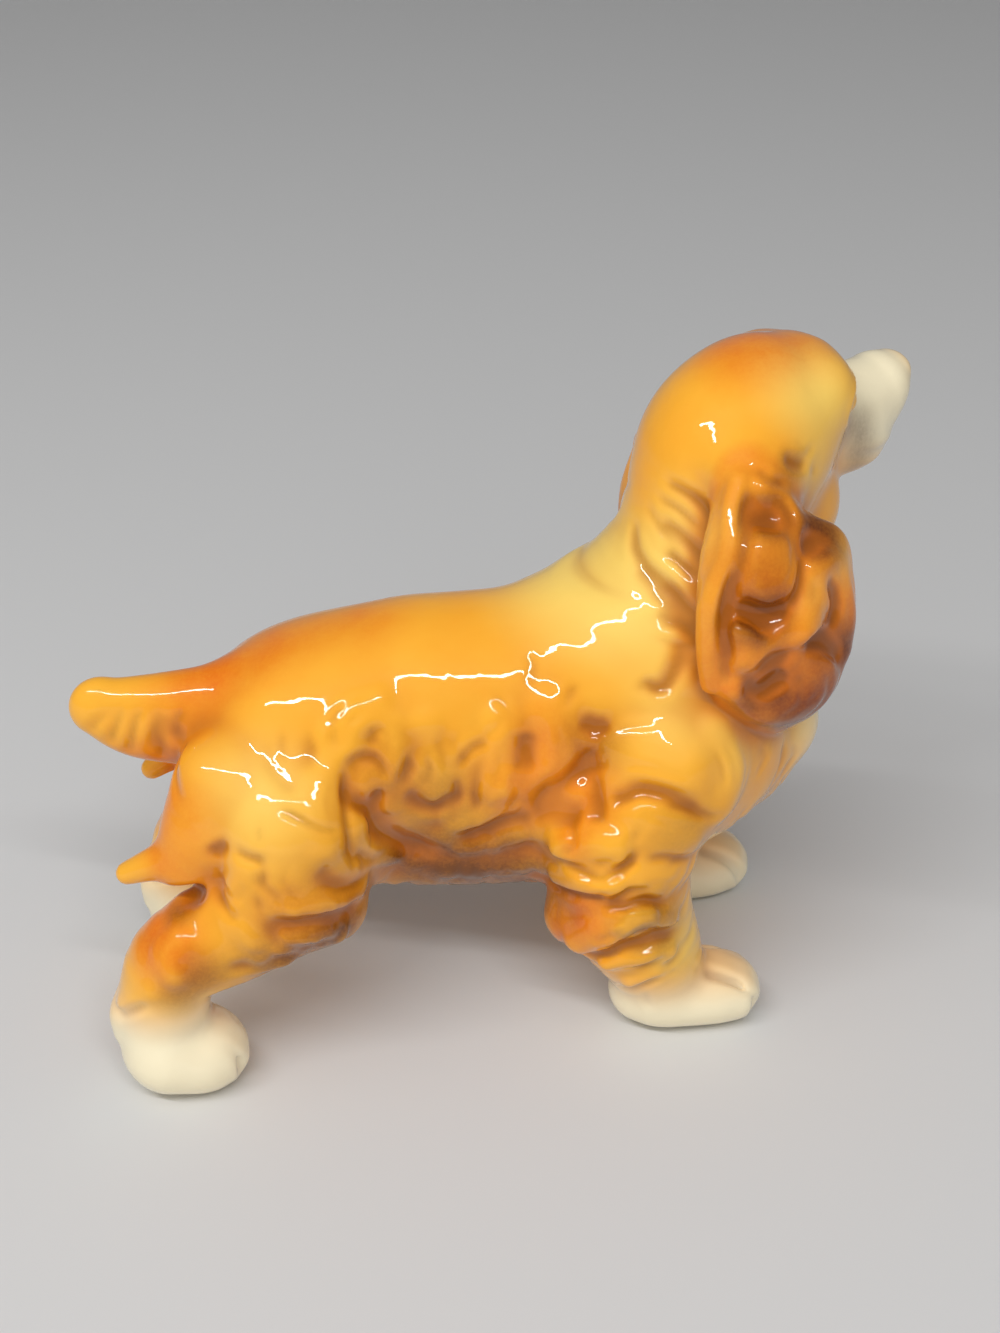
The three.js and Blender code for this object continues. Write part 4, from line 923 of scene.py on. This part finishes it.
def name_grains(body, ears):
    """Joins ears and body in one clay, flat under the paws, and names each grain's casting."""
    whole = body
    soft = EAR_MELT + CROWN_MELT * np.clip((Z - CROWN_LOW) / CROWN_FADE, 0, 1)
    for ear in ears.values():
        whole = melt_together(whole, ear, soft)
    whole = np.maximum(whole, -Z)
    owner = np.full(whole.shape, NAMES.index("trunk"), np.int8)

    def claim(where, name):
        owner[np.broadcast_to(where, whole.shape)] = NAMES.index(name)

    lowest = HEAD_CUT - NECK_FALL
    front = lowest + NECK_RISE * np.clip((NECK_FRONT - X) / (NECK_FRONT - CUT_BEND), 0, 1)
    rear = lowest + NECK_RISE + REAR_RISE * np.clip((CUT_BEND - X) / (CUT_BEND - NECK_REAR), 0, 1)
    claim((Z > np.where(X > CUT_BEND, front, rear)) & (X > NECK_REAR), "head")
    behind = X < TAIL_CUT - np.clip((TAIL_MIDDLE - Z) * TAIL_LEAN, -LEAN_LIMIT, LEAN_LIMIT)
    claim(behind & (Z > TAIL_LOW) & (Z < TAIL_HIGH) & (np.abs(Y) < TAIL_HALF_WIDTH), "tail")
    for name, side in SIDES.items():
        out = Y * side
        rise = np.clip(out - LEG_GAP, 0, 50) * LEG_RISE / LEG_SPAN
        claim((out > LEG_GAP) & (X > FORE_REAR) & (Z < FORE_CUT + rise), name + "_foreleg")
        claim((out > LEG_GAP) & (X < HIND_FRONT) & (Z < HIND_CUT + rise), name + "_hindleg")
    for name, side in SIDES.items():
        ear = ears[name + "_ear"]
        claim((body > EAR_PROUD) & (ear < EAR_REACH) & (Y * side > 0), name + "_ear")
    return whole, owner


whole, owner = name_grains(body, ears)
comb(whole, CHEEK, SIDES["right"])
for i, name in enumerate(NAMES[1:], 1):
    print(name, "has", int(((owner == i) & (whole < 0)).sum()), "grains of clay")


# %% Smoothing and reading the field
CORNERS = [(c & 1, c >> 1 & 1, c >> 2) for c in range(8)]


def soften(field, rounds):
    """Averages each grain with its neighbours, along each direction in turn."""
    field = field.copy()
    for _ in range(rounds):
        for axis in range(3):
            f = np.moveaxis(field, axis, 0)
            f[1:-1] = 0.25 * f[:-2] + 0.5 * f[1:-1] + 0.25 * f[2:]
    return field


def read(field, points, grain=GRAIN):
    """The field between the grains, at points in the sculptor's frame."""
    q = (points - LOW) / grain
    low = np.clip(np.floor(q).astype(int), 0, np.array(field.shape) - 2)
    t = q - low
    total = 0.0
    for corner in CORNERS:
        weight = np.where(corner, t, 1 - t).prod(1)
        at = low + corner
        total = total + weight * field[at[:, 0], at[:, 1], at[:, 2]]
    return total


def slope_of(field, points, step=0.8 * GRAIN):
    rises = [read(field, points + way) - read(field, points - way) for way in step * np.eye(3)]
    return np.stack(rises, 1) / (2 * step)


whole = soften(whole, 1)
owner[whole >= 0] = 0
print("field in the middle of the trunk:", round(float(read(whole, np.array([[0.0, 0.0, 60.0]]))[0]), 1))


# %% Drawing the surface through the grid
def cell_points(field, owner):
    """One point in each cell whose corners differ: in the skin, or inside where castings meet."""
    size = np.array(owner.shape) - 1
    first, *others = [owner[tuple(slice(s, s + n) for s, n in zip(corner, size))] for corner in CORNERS]
    mixed = np.zeros(size, bool)
    for other in others:
        mixed |= other != first
    cells = np.argwhere(mixed)
    number = np.full(size, -1, np.int32)
    number[mixed] = np.arange(len(cells))
    outer_sum, inner_sum = np.zeros((len(cells), 3)), np.zeros((len(cells), 3))
    outer, inner = np.zeros(len(cells)), np.zeros(len(cells))
    for a, start in enumerate(CORNERS):
        for axis in range(3):
            if start[axis]:
                continue
            ends = [tuple((cells + c).T) for c in (start, CORNERS[a | 1 << axis])]
            names = [owner[end] for end in ends]
            values = [field[end] for end in ends]
            edge = (names[0] == 0) != (names[1] == 0)
            gap = np.where(edge, values[0] - values[1], 1)
            t = np.where(edge, values[0] / np.where(gap == 0, 1, gap), 0.5)
            place = np.tile(np.array(start, float), (len(cells), 1))
            place[:, axis] += np.clip(t, 0, 1)
            outer_sum += place * edge[:, None]
            outer += edge
            within = (names[0] != names[1]) & ~edge
            inner_sum += place * within[:, None]
            inner += within
    on_skin = outer > 0
    centre = np.where(on_skin[:, None], outer_sum, inner_sum) / np.where(on_skin, outer, inner)[:, None]
    return LOW + GRAIN * (cells + centre), on_skin, number


def four_sided_faces(owner, number):
    """The faces of each casting between two grains: its skin, and its walls inside the figure."""
    skins, walls = {}, {}
    step = np.eye(3, dtype=int)
    for axis in range(3):
        one, other = step[(axis + 1) % 3], step[(axis + 2) % 3]
        low = owner[tuple(slice(0, -1) if k == axis else slice(1, -1) for k in range(3))]
        high = owner[tuple(slice(1, None) if k == axis else slice(1, -1) for k in range(3))]
        where = np.argwhere(low != high) + 1 - step[axis]
        ring = [number[tuple((where - a * one - b * other).T)] for a, b in ((1, 1), (0, 1), (0, 0), (1, 0))]
        ring = np.stack(ring, 1)
        before = owner[tuple(where.T)]
        after = owner[tuple((where + step[axis]).T)]
        inside = (before > 0) & (after > 0)
        for i, name in enumerate(NAMES[1:], 1):
            for kind, here in ((skins, ~inside), (walls, inside)):
                faces = [ring[here & (before == i)], ring[here & (after == i)][:, ::-1]]
                kind.setdefault(name, []).extend(faces)
    return [{name: np.vstack(parts) for name, parts in kind.items()} for kind in (skins, walls)]


# %% Joining stray grains and settling the points
JOIN_ROUNDS, JUST_OUTSIDE = 4, 0.05
SETTLE_ROUNDS, LONGEST_MOVE, LEAST_STEEP = 3, 0.3 * GRAIN, 0.25
WALL_DEPTH = 0.4


def hanging_together(region, seed):
    """The grains of a region that can be reached from a seed grain, swept along each axis in turn."""
    reached = np.zeros(region.shape, bool)
    reached[seed] = True
    before = 0
    while reached.sum() > before:
        before = reached.sum()
        for axis in range(3):
            for way in (1, -1):
                grains = np.moveaxis(reached, axis, 0)[::way]
                allowed = np.moveaxis(region, axis, 0)[::way]
                for i in range(1, len(grains)):
                    grains[i] |= grains[i - 1] & allowed[i]
    return reached


def join_strays(whole, owner):
    """Gives loose grains of a casting to the neighbour they touch, and drops those that touch none."""
    kept = np.zeros_like(owner)
    for i in range(1, len(NAMES)):
        filled = np.argwhere(owner == i)
        box = tuple(slice(a, b) for a, b in zip(filled.min(0), filled.max(0) + 1))
        region = owner[box] == i
        seed = np.unravel_index(np.argmin(np.where(region, whole[box], FAR_AWAY)), region.shape)
        kept[box][hanging_together(region, seed)] = i
    loose = (owner > 0) & (kept == 0)
    print("loose grains:", int(loose.sum()))
    for _ in range(JOIN_ROUNDS):
        for axis in range(3):
            for way in (1, -1):
                beside = np.roll(kept, way, axis)
                take = loose & (kept == 0) & (beside > 0)
                kept[take] = beside[take]
    whole[loose & (kept == 0)] = JUST_OUTSIDE
    return kept


owner = join_strays(whole, owner)
points, on_skin, number = cell_points(whole, owner)
skins, walls = four_sided_faces(owner, number)
buried = ~on_skin
for _ in range(SETTLE_ROUNDS):
    slopes = slope_of(whole, points[on_skin])
    steep = np.maximum((slopes ** 2).sum(1), LEAST_STEEP)
    move = np.clip(read(whole, points[on_skin]) / steep, -LONGEST_MOVE, LONGEST_MOVE)
    points[on_skin] -= slopes * move[:, None]
    slopes = slope_of(whole, points[buried])
    points[buried] -= slopes * np.clip(read(whole, points[buried]) + WALL_DEPTH, 0, GRAIN)[:, None]
normals = np.zeros_like(points)
slopes = slope_of(whole, points[on_skin])
normals[on_skin] = slopes / np.linalg.norm(slopes, axis=1, keepdims=True)
print("points:", len(points), "four-sided faces:", {name: len(f) for name, f in skins.items()})

# %% [markdown]
# ## Spraying the colours
# The bare cream body is sprayed in passes, light colours first: honey over nearly everything,
# straw where the coat is palest, which also paints light on the top of the back, neck and skull
# and on the bulges of the shoulders, orange on the back, the head and the tips of the feathering,
# chestnut on the ears, which also paints shade under the middle lobe, umber as painted shade in
# their pockets and in the folds of the muzzle and cheek, and brown painted shade under the belly,
# thighs and hocks and in the long shaded locks. Each pass is stored on the points as a number
# from 0 to 1, because an airbrush fades over centimetres and the points are about half a
# millimetre apart. Each burst is a place, how far it reaches and how strong it is, and most are
# sprayed on both sides.

# %% The airbrush
BURST_EDGE = 0.8


def smooth_step(t):
    t = np.clip(t, 0, 1)
    return t * t * (3 - 2 * t)


def away_from(points, centre, reach):
    """How far points lie from a centre, counted in reaches."""
    return np.sqrt((((points - np.array(centre)) / reach) ** 2).sum(1))


def spray(points, bursts, both_sides=True):
    bare = np.ones(len(points))
    for place, reach, strength in bursts:
        for mirror in ((1, 1, 1), (1, -1, 1)) if both_sides else ((1, 1, 1),):
            away = away_from(points, np.array(place) * mirror, reach)
            bare *= 1 - strength * smooth_step(1 - away * BURST_EDGE)
    return 1 - bare


def on_head(forward, left, up):
    return tuple(in_head(forward, left, up))


in_head_frame = (points - HEAD) @ HEAD_ROWS.T
one_burst = spray(points, [((0, 0, 60), 40, 1.0)])
print(f"one wide burst at the middle of the trunk gives {one_burst.mean():.2f} on average")

# %% The bursts of each pass
ORANGE = [
    ((-52, 0, 76), 13, 0.7), ((-40, 0, 82), 12, 0.5), ((-25, 0, 86), 11, 0.4), ((3, -20, 70), 9, 0.35),
    ((-55, -10, 55), 14, 0.7), ((-60, 0, 60), (12, 8, 7), 0.7), ((-24, -19, 60), 9, 0.4),
    ((0, -21, 58), 11, 0.6), ((8, -22, 64), 9, 0.5), ((12, -24, 56), 8, 0.6), ((-16, -16, 40), 9, 0.6),
    ((-6, -16, 40), 10, 0.7), ((10, -26, 33), 10, 0.9), ((8, -22, 26), 9, 0.8), ((9, -26, 49), 5, 0.6),
    ((-38, -27, 39), 11, 0.6), ((-56, -19, 14.5), 4, 0.5), ((-30, -26, 36), 8, 0.6),
    ((-62, -24, 33), 9, 1.0), ((-66, -20, 36), 8, 0.7), ((-60, -16, 46), 9, 0.9), ((-56, -16, 56), 8, 0.5),
    ((33, -16, 100), 6, 0.5), ((30, -18, 92), 6, 0.4), ((46, -15, 112), 7, 0.4), ((45, -20, 60), 9, 0.3),
]
# Straw bursts: partly the paler spray beside the cream parts, partly painted light on the top of the back,
# neck and skull and on the bulges of the shoulders.
PALE_AND_LIT = [
    ((24, -10, 86), 17, 0.9), ((31, -13, 100), 12, 0.6), ((40, -18, 66), 13, 0.7), ((14, 0, 86), 17, 0.6),
    ((-63, -20, 24), 10, 0.6), ((58, -12, 62), 12, 0.7), ((30, -24, 24), 12, 0.6),
    ((-46, -24, 64), 14, 0.6), ((52, 0, 118), 12, 0.6), ((50, -8, 106), 9, 0.5), ((54, -16, 96), 6, 0.8),
    ((48, -22, 92), 6, 0.5), ((26, -22, 70), 10, 0.5),
]
# Brown bursts of painted shade: under the belly, the elbows, the thighs and the hocks, and in the long shaded
# locks of the flank.
SHADE_BURSTS = [
    ((-22, -19, 60), 12, 0.35), ((-12, -19, 55), 10, 0.4), ((-34, -24, 50), 10, 0.3),
    ((12, -22, 67), 7, 0.5), ((27, -28, 52), 9, 0.4), ((22, -30, 34), 9, 0.6), ((-40, -26, 42), 10, 0.35),
    ((-10, -14, 37), 16, 1.0), ((2, -14, 37), 16, 1.0), ((-20, -16, 42), 10, 0.8),
    ((-40, -24, 33), 11, 0.9), ((-33, -24, 34), 10, 0.9), ((-10, 0, 30), 16, 1.0), ((-48, -24, 32), 8, 0.6),
    ((-60.9, -27, 26), 6, 0.5), ((-56.5, -27, 30), 6, 0.6), ((-60, -20, 40), 4.5, 0.9),
    ((24, -30, 28), 7, 0.4), ((-14, -17, 44), 8, 0.5),
]
# Chestnut is the ears' own darker colour; the bursts low on the middle lobe and in the pocket under it also
# add painted shade there.
CHESTNUT = [
    ((50, -22, 73), 15, 0.95), ((40, -24, 94.5), 6.5, 0.7), ((39, -24, 99), 8, 0.5),
    ((35, -24, 87), 5, 0.5), ((40.5, -19, 105), 6, 0.5), ((57, -17, 81), 8, 0.6), ((50, -21, 87.5), 4, 0.6),
    ((39, -25, 91), 6, 0.8), ((51, -18, 100.4), 7, 0.8), ((41, -24, 77), 6, 0.6), ((37.4, -24, 84.5), 4, 0.5),
]
# Umber bursts are painted shade: in the pockets and under the lobes of the ears, in the folds at the base of
# the muzzle and below the eye, and in the cheek wrinkles.
UMBER_SHADE_BURSTS = [
    ((40.8, -19, 105), 5.5, 0.85), ((39.2, -25, 90.6), 6.5, 0.95), ((50.4, -22, 84), 5.5, 1.0),
    ((54.5, -19, 80), 5.5, 1.0), ((51, -17, 101), 7, 1.0), ((34.4, -24, 90), 4.5, 0.5),
    ((34.4, -24, 84), 4, 0.4), ((41.6, -25, 77), 5.5, 0.95), ((56.5, -17, 75), 8, 0.5),
    ((45, -22, 68), 9, 0.6), ((50, -22, 72), 10, 0.5), ((38, -24, 75), 5, 0.6), ((40, -24, 87.6), 5, 0.5),
    (on_head(19, -8, -3), 6, 0.5), (on_head(20, -7, -9), 6, 0.5), (on_head(15, -11, -1), 5, 0.4),
    ((47.4, -12, 111.2), 4, 0.5), ((44, -13, 108), 5, 0.35),
]
passes = {
    "straw_and_light": spray(points, PALE_AND_LIT),
    "orange": spray(points, ORANGE),
    "painted_shade": spray(points, SHADE_BURSTS),
    "chestnut": spray(points, CHESTNUT, False),
    "umber_shade": spray(points, UMBER_SHADE_BURSTS, False),
}
print("bursts:", [len(bursts) for bursts in (PALE_AND_LIT, ORANGE, SHADE_BURSTS, CHESTNUT, UMBER_SHADE_BURSTS)])


# %% Skull, ears, and what stays bare
SKULL, SKULL_SIZE = (3, 0, 18), (16, 14, 10)
MUZZLE, MUZZLE_SIZE = (25, 0, -2), (17, 13, 13)
BREAST, BREAST_SIZE = (55, -2, 57), (9, 10, 12)
EAR_TOP, EAR_LENGTH, EAR_BLEND = 104, 34, 3
HOCK_TOP, PAW_TOP, PAW_FADE, BEHIND = 27, 20, 14, -20


def below(top, depth):
    """Fades in from 0 at one height to 1 a depth further down."""
    return smooth_step((top - points[:, 2]) / depth)


def deepen(name, mask):
    passes[name] = np.maximum(passes[name], mask)


deepen("orange", 0.8 * smooth_step(1.3 - away_from(in_head_frame, SKULL, SKULL_SIZE)))
drop = below(EAR_TOP, EAR_LENGTH)
on_ears = np.zeros(len(points))
for name, ear in ears.items():
    near = smooth_step(0.5 + (read(body, points) - read(ear, points)) / EAR_BLEND)
    deepen("orange", (0.5 + 0.3 * drop) * near)
    if name == "left_ear":
        deepen("chestnut", near * 0.9 * drop)
    on_ears = np.maximum(on_ears, near)
hind_paws = below(HOCK_TOP, PAW_FADE) * (points[:, 0] < BEHIND)
paws = np.maximum(hind_paws, below(PAW_TOP, PAW_FADE) * (points[:, 0] > BEHIND))
muzzle = smooth_step(1.7 * (1.25 - away_from(in_head_frame, MUZZLE, MUZZLE_SIZE)))
breast = 0.8 * smooth_step(1.4 - away_from(points, BREAST, BREAST_SIZE))
bare = np.maximum(np.maximum(muzzle, paws), breast)
passes["honey"] = 1 - bare
passes["orange"] *= (1 - 0.75 * bare) * (1 - 0.5 * passes["straw_and_light"])
print(f"left bare: {bare[on_skin].mean():.0%} of the surface")

# %% Painted shade in creases and valleys, painted light on crests, nose and eyes
CREASE_ROUNDS, VALLEY_ROUNDS = 7, 12
CREASE_DEPTH, VALLEY_EDGE, VALLEY_DEPTH, CREST_EDGE, CREST_HEIGHT = 0.55, 0.35, 1.3, 0.5, 1.2
NOSE, NOSE_SIZE, EYE_SIZE = (39.2, 0, 1.2), (2.2, 3.6, 2.6), 2.4
crease = read(soften(whole, CREASE_ROUNDS), points) * on_skin
valley = read(soften(whole[::2, ::2, ::2], VALLEY_ROUNDS), points, 2 * GRAIN) * on_skin
# Painted shade: dark brown laid into the narrow creases, weaker on the cream parts.
passes["crease"] = smooth_step(-crease / CREASE_DEPTH) * (0.2 + 0.8 * passes["honey"])
# Painted shade: the wide hollows, found from a blurred copy of the clay, are darkened, more strongly on the
# ears.
passes["valley"] = smooth_step((VALLEY_EDGE - valley) / VALLEY_DEPTH * (1 + 0.6 * on_ears))
# Painted light: the crests are lightened back towards honey, less on the ears.
passes["crest"] = smooth_step((valley - CREST_EDGE) / CREST_HEIGHT) * (1 - 0.8 * on_ears)


def black_spot(centre, reach):
    return smooth_step(4 * (1.05 - away_from(in_head_frame, centre, reach)))


dark = black_spot(NOSE, NOSE_SIZE)
for side in SIDES.values():
    dark = np.maximum(dark, black_spot((EYE[0] + 1, side * (EYE[1] + 0.4), EYE[2]), EYE_SIZE))
passes["dark"] = dark
for name, mask in passes.items():
    print(f"{name}: covers {mask[on_skin].mean():.0%} of the surface")

# %% [markdown]
# ## The glaze
# Colour and gloss lie in different layers: the stained porcelain body is slightly rough, and a
# clear glaze stands on it like water. The Principled shader has the same two layers, base and
# coat. Painted shade darkens the hollows and creases and painted light brightens the crests, so
# both drive the mix, and a faint wide ripple in the coat lets the long reflections waver as they
# do on hand-dipped ware.

# %% Colours
def colour(red, green, blue):
    """Screen values from 0 to 255 as the linear numbers that the shader takes."""
    linear = [((c / 255 + 0.055) / 1.055) ** 2.4 if c > 10 else c / 3295 for c in (red, green, blue)]
    return (*linear, 1.0)


CREAM = colour(255, 242, 206)
# Straw: the paler spray, and painted light on the tops of back, neck and skull.
STRAW_AND_TOP_LIGHT = colour(255, 222, 116)
HONEY = colour(255, 184, 54)
DEEP_HONEY = colour(252, 162, 30)
ORANGE_STAIN = colour(236, 122, 14)
# Chestnut of the ears, also painted shade under the middle lobe.
CHESTNUT_STAIN_AND_SHADE = colour(172, 76, 8)
# Dark umber of the painted shade in the ear pockets and the folds of the face.
UMBER_SHADE = colour(84, 36, 6)
SHADED = colour(208, 112, 20)
# Brown of the painted shade under the belly and the legs.
SHADE_BROWN = colour(118, 66, 18)
# Dark brown of the painted shade in the narrow creases.
CREASE_SHADE = colour(112, 60, 10)
BLACK = colour(30, 20, 16)
print("honey for the shader:", [round(c, 3) for c in HONEY])


# %% The glaze material
CLOUD_LEAST, CLOUD_MORE = 0.55, 0.9
GRAIN_LEAST, GRAIN_MORE = 0.75, 0.5
DEEP_SHARE, VALLEY_SHARE, CREASE_SHARE = 0.6, 0.7, 0.5


def glaze(name):
    material = bpy.data.materials.new(name)
    material.use_nodes = True
    tree = material.node_tree
    nodes, links = tree.nodes, tree.links
    surface = nodes["Principled BSDF"]

    def feed(socket, value):
        if isinstance(value, bpy.types.NodeSocket):
            links.new(value, socket)
        else:
            socket.default_value = value

    def node(kind, **inputs):
        made = nodes.new(kind)
        for key, value in inputs.items():
            feed(made.inputs[key.replace("_", " ")], value)
        return made

    def mask(attribute):
        made = nodes.new("ShaderNodeAttribute")
        made.attribute_name = attribute
        return made.outputs["Fac"]

    def maths(operation, a, b):
        made = nodes.new("ShaderNodeMath")
        made.operation = operation
        feed(made.inputs[0], a)
        feed(made.inputs[1], b)
        return made.outputs[0]

    def mixed(under, over, amount):
        made = nodes.new("ShaderNodeMix")
        made.data_type = "RGBA"
        feed(made.inputs[0], amount)
        feed(made.inputs[6], under)
        feed(made.inputs[7], over)
        return made.outputs[2]

    place = nodes.new("ShaderNodeTexCoord").outputs["Object"]
    cloud = node("ShaderNodeTexNoise", Vector=place, Scale=140.0, Detail=4.0, Roughness=0.55).outputs["Fac"]
    grain = node("ShaderNodeTexNoise", Vector=place, Scale=1500.0, Detail=3.0, Roughness=0.6).outputs["Fac"]
    uneven = maths("ADD", maths("MULTIPLY", cloud, CLOUD_MORE), CLOUD_LEAST)
    thin = maths("ADD", maths("MULTIPLY", grain, GRAIN_MORE), GRAIN_LEAST)

    def sprayed(attribute):
        return maths("MINIMUM", maths("MULTIPLY", maths("MULTIPLY", mask(attribute), uneven), thin), 1.0)

    ground = mixed(HONEY, DEEP_HONEY, maths("MULTIPLY", cloud, DEEP_SHARE))
    # straw: the paler spray and painted light on the tops
    ground = mixed(ground, STRAW_AND_TOP_LIGHT, mask("straw_and_light"))
    skin_colour = mixed(CREAM, ground, mask("honey"))
    # How strongly the painted shade of the hollows and the painted light of the crests show, on the honey
    # parts only.
    shade_and_light_share = maths("MULTIPLY", mask("honey"), VALLEY_SHARE)
    for stain, amount in (
        (ORANGE_STAIN, sprayed("orange")),
        # chestnut ear colour, with some painted shade under the middle lobe
        (CHESTNUT_STAIN_AND_SHADE, sprayed("chestnut")),
        # painted shade in the ear pockets and the folds of the face
        (UMBER_SHADE, sprayed("umber_shade")),
        # painted shade under the belly and the legs
        (SHADE_BROWN, sprayed("painted_shade")),
        # painted shade in the wide hollows
        (SHADED, maths("MULTIPLY", mask("valley"), shade_and_light_share)),
        # painted light on the crests
        (HONEY, maths("MULTIPLY", mask("crest"), shade_and_light_share)),
        # painted shade in the narrow creases
        (CREASE_SHADE, maths("MULTIPLY", mask("crease"), CREASE_SHARE)),
        (BLACK, mask("dark")),
    ):
        skin_colour = mixed(skin_colour, stain, amount)
    ripple = node("ShaderNodeTexNoise", Vector=place, Scale=210.0, Detail=2.0, Roughness=0.5).outputs["Fac"]
    bump = node("ShaderNodeBump", Strength=0.18, Distance=0.0006, Height=ripple).outputs["Normal"]
    for key, value in {
        "Base Color": skin_colour,
        "Roughness": 0.42,
        "Coat Weight": 1.0,
        "Coat Roughness": 0.035,
        "Coat IOR": 1.45,
        "Specular IOR Level": 0.1,
        "Coat Normal": bump,
        "Normal": bump,
    }.items():
        feed(surface.inputs[key], value)
    return material


SLOTS = {"right_ear": "chestnut_glaze", "left_ear": "chestnut_glaze"}
for leg in ("right_foreleg", "left_foreleg", "right_hindleg", "left_hindleg"):
    SLOTS[leg] = "cream_glaze"
materials = {slot: glaze(slot) for slot in ("honey_glaze", "chestnut_glaze", "cream_glaze")}
print("glazes:", ", ".join(materials))

# %% [markdown]
# ## Making the pieces
# Each casting becomes a mesh of its own that stands for its solid. The seam points of two
# neighbours are the same, and each point carries the direction of the whole surface, so that
# the glaze runs over the joint without a line. Where a wall inside the joint lies close under
# the skin, its middle is sunk, so that it can't show through as a speck.

# %% The pieces
SINK = 0.6


def sunk_walls(wall):
    """A wall face that touches the skin with three corners or more gets a sunk point in its middle."""
    shallow = on_skin[wall].sum(1) > 2
    rings = wall[shallow]
    inward = normals[rings].sum(1)
    inward /= np.maximum(np.linalg.norm(inward, axis=1, keepdims=True), 1e-6)
    middle = points[rings].mean(1) - SINK * inward
    number = len(points) + np.arange(len(rings))
    fans = [np.stack([rings[:, i], rings[:, (i + 1) % 4], number], 1) for i in range(4)]
    return wall[~shallow], middle, np.vstack(fans)


def make_piece(name):
    deep, middle, fans = sunk_walls(walls[name])
    quads = np.vstack([skins[name], deep])
    used = np.unique(np.concatenate([quads.ravel(), fans[:, :2].ravel()]))
    local = np.full(len(points) + len(middle), -1)
    local[used] = np.arange(len(used))
    local[len(points):] = len(used) + np.arange(len(middle))
    place = np.vstack([points[used], middle])
    place = np.clip((place + ROW) * MM, np.array(cad_low), np.array(cad_high))
    mesh = bpy.data.meshes.new(name + "_glazed")
    mesh.from_pydata(place.tolist(), [], local[quads].tolist() + local[fans].tolist())
    mesh.shade_smooth()
    for mask_name, mask in passes.items():
        attribute = mesh.attributes.new(mask_name, "FLOAT", "POINT")
        attribute.data.foreach_set("value", np.append(mask[used], np.zeros(len(middle))).astype(np.float32))
    mesh.normals_split_custom_set_from_vertices(normals[used].tolist() + [(0, 0, 0)] * len(middle))
    piece = bpy.data.objects.new(name + "_glazed", mesh)
    bpy.context.collection.objects.link(piece)
    slot = SLOTS.get(name, "honey_glaze")
    mesh.materials.append(materials[slot])
    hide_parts(name)
    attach(piece, "root")
    return piece


pieces = [make_piece(name) for name in NAMES[1:]]
for piece in pieces:
    print(piece.name, len(piece.data.polygons), "faces")
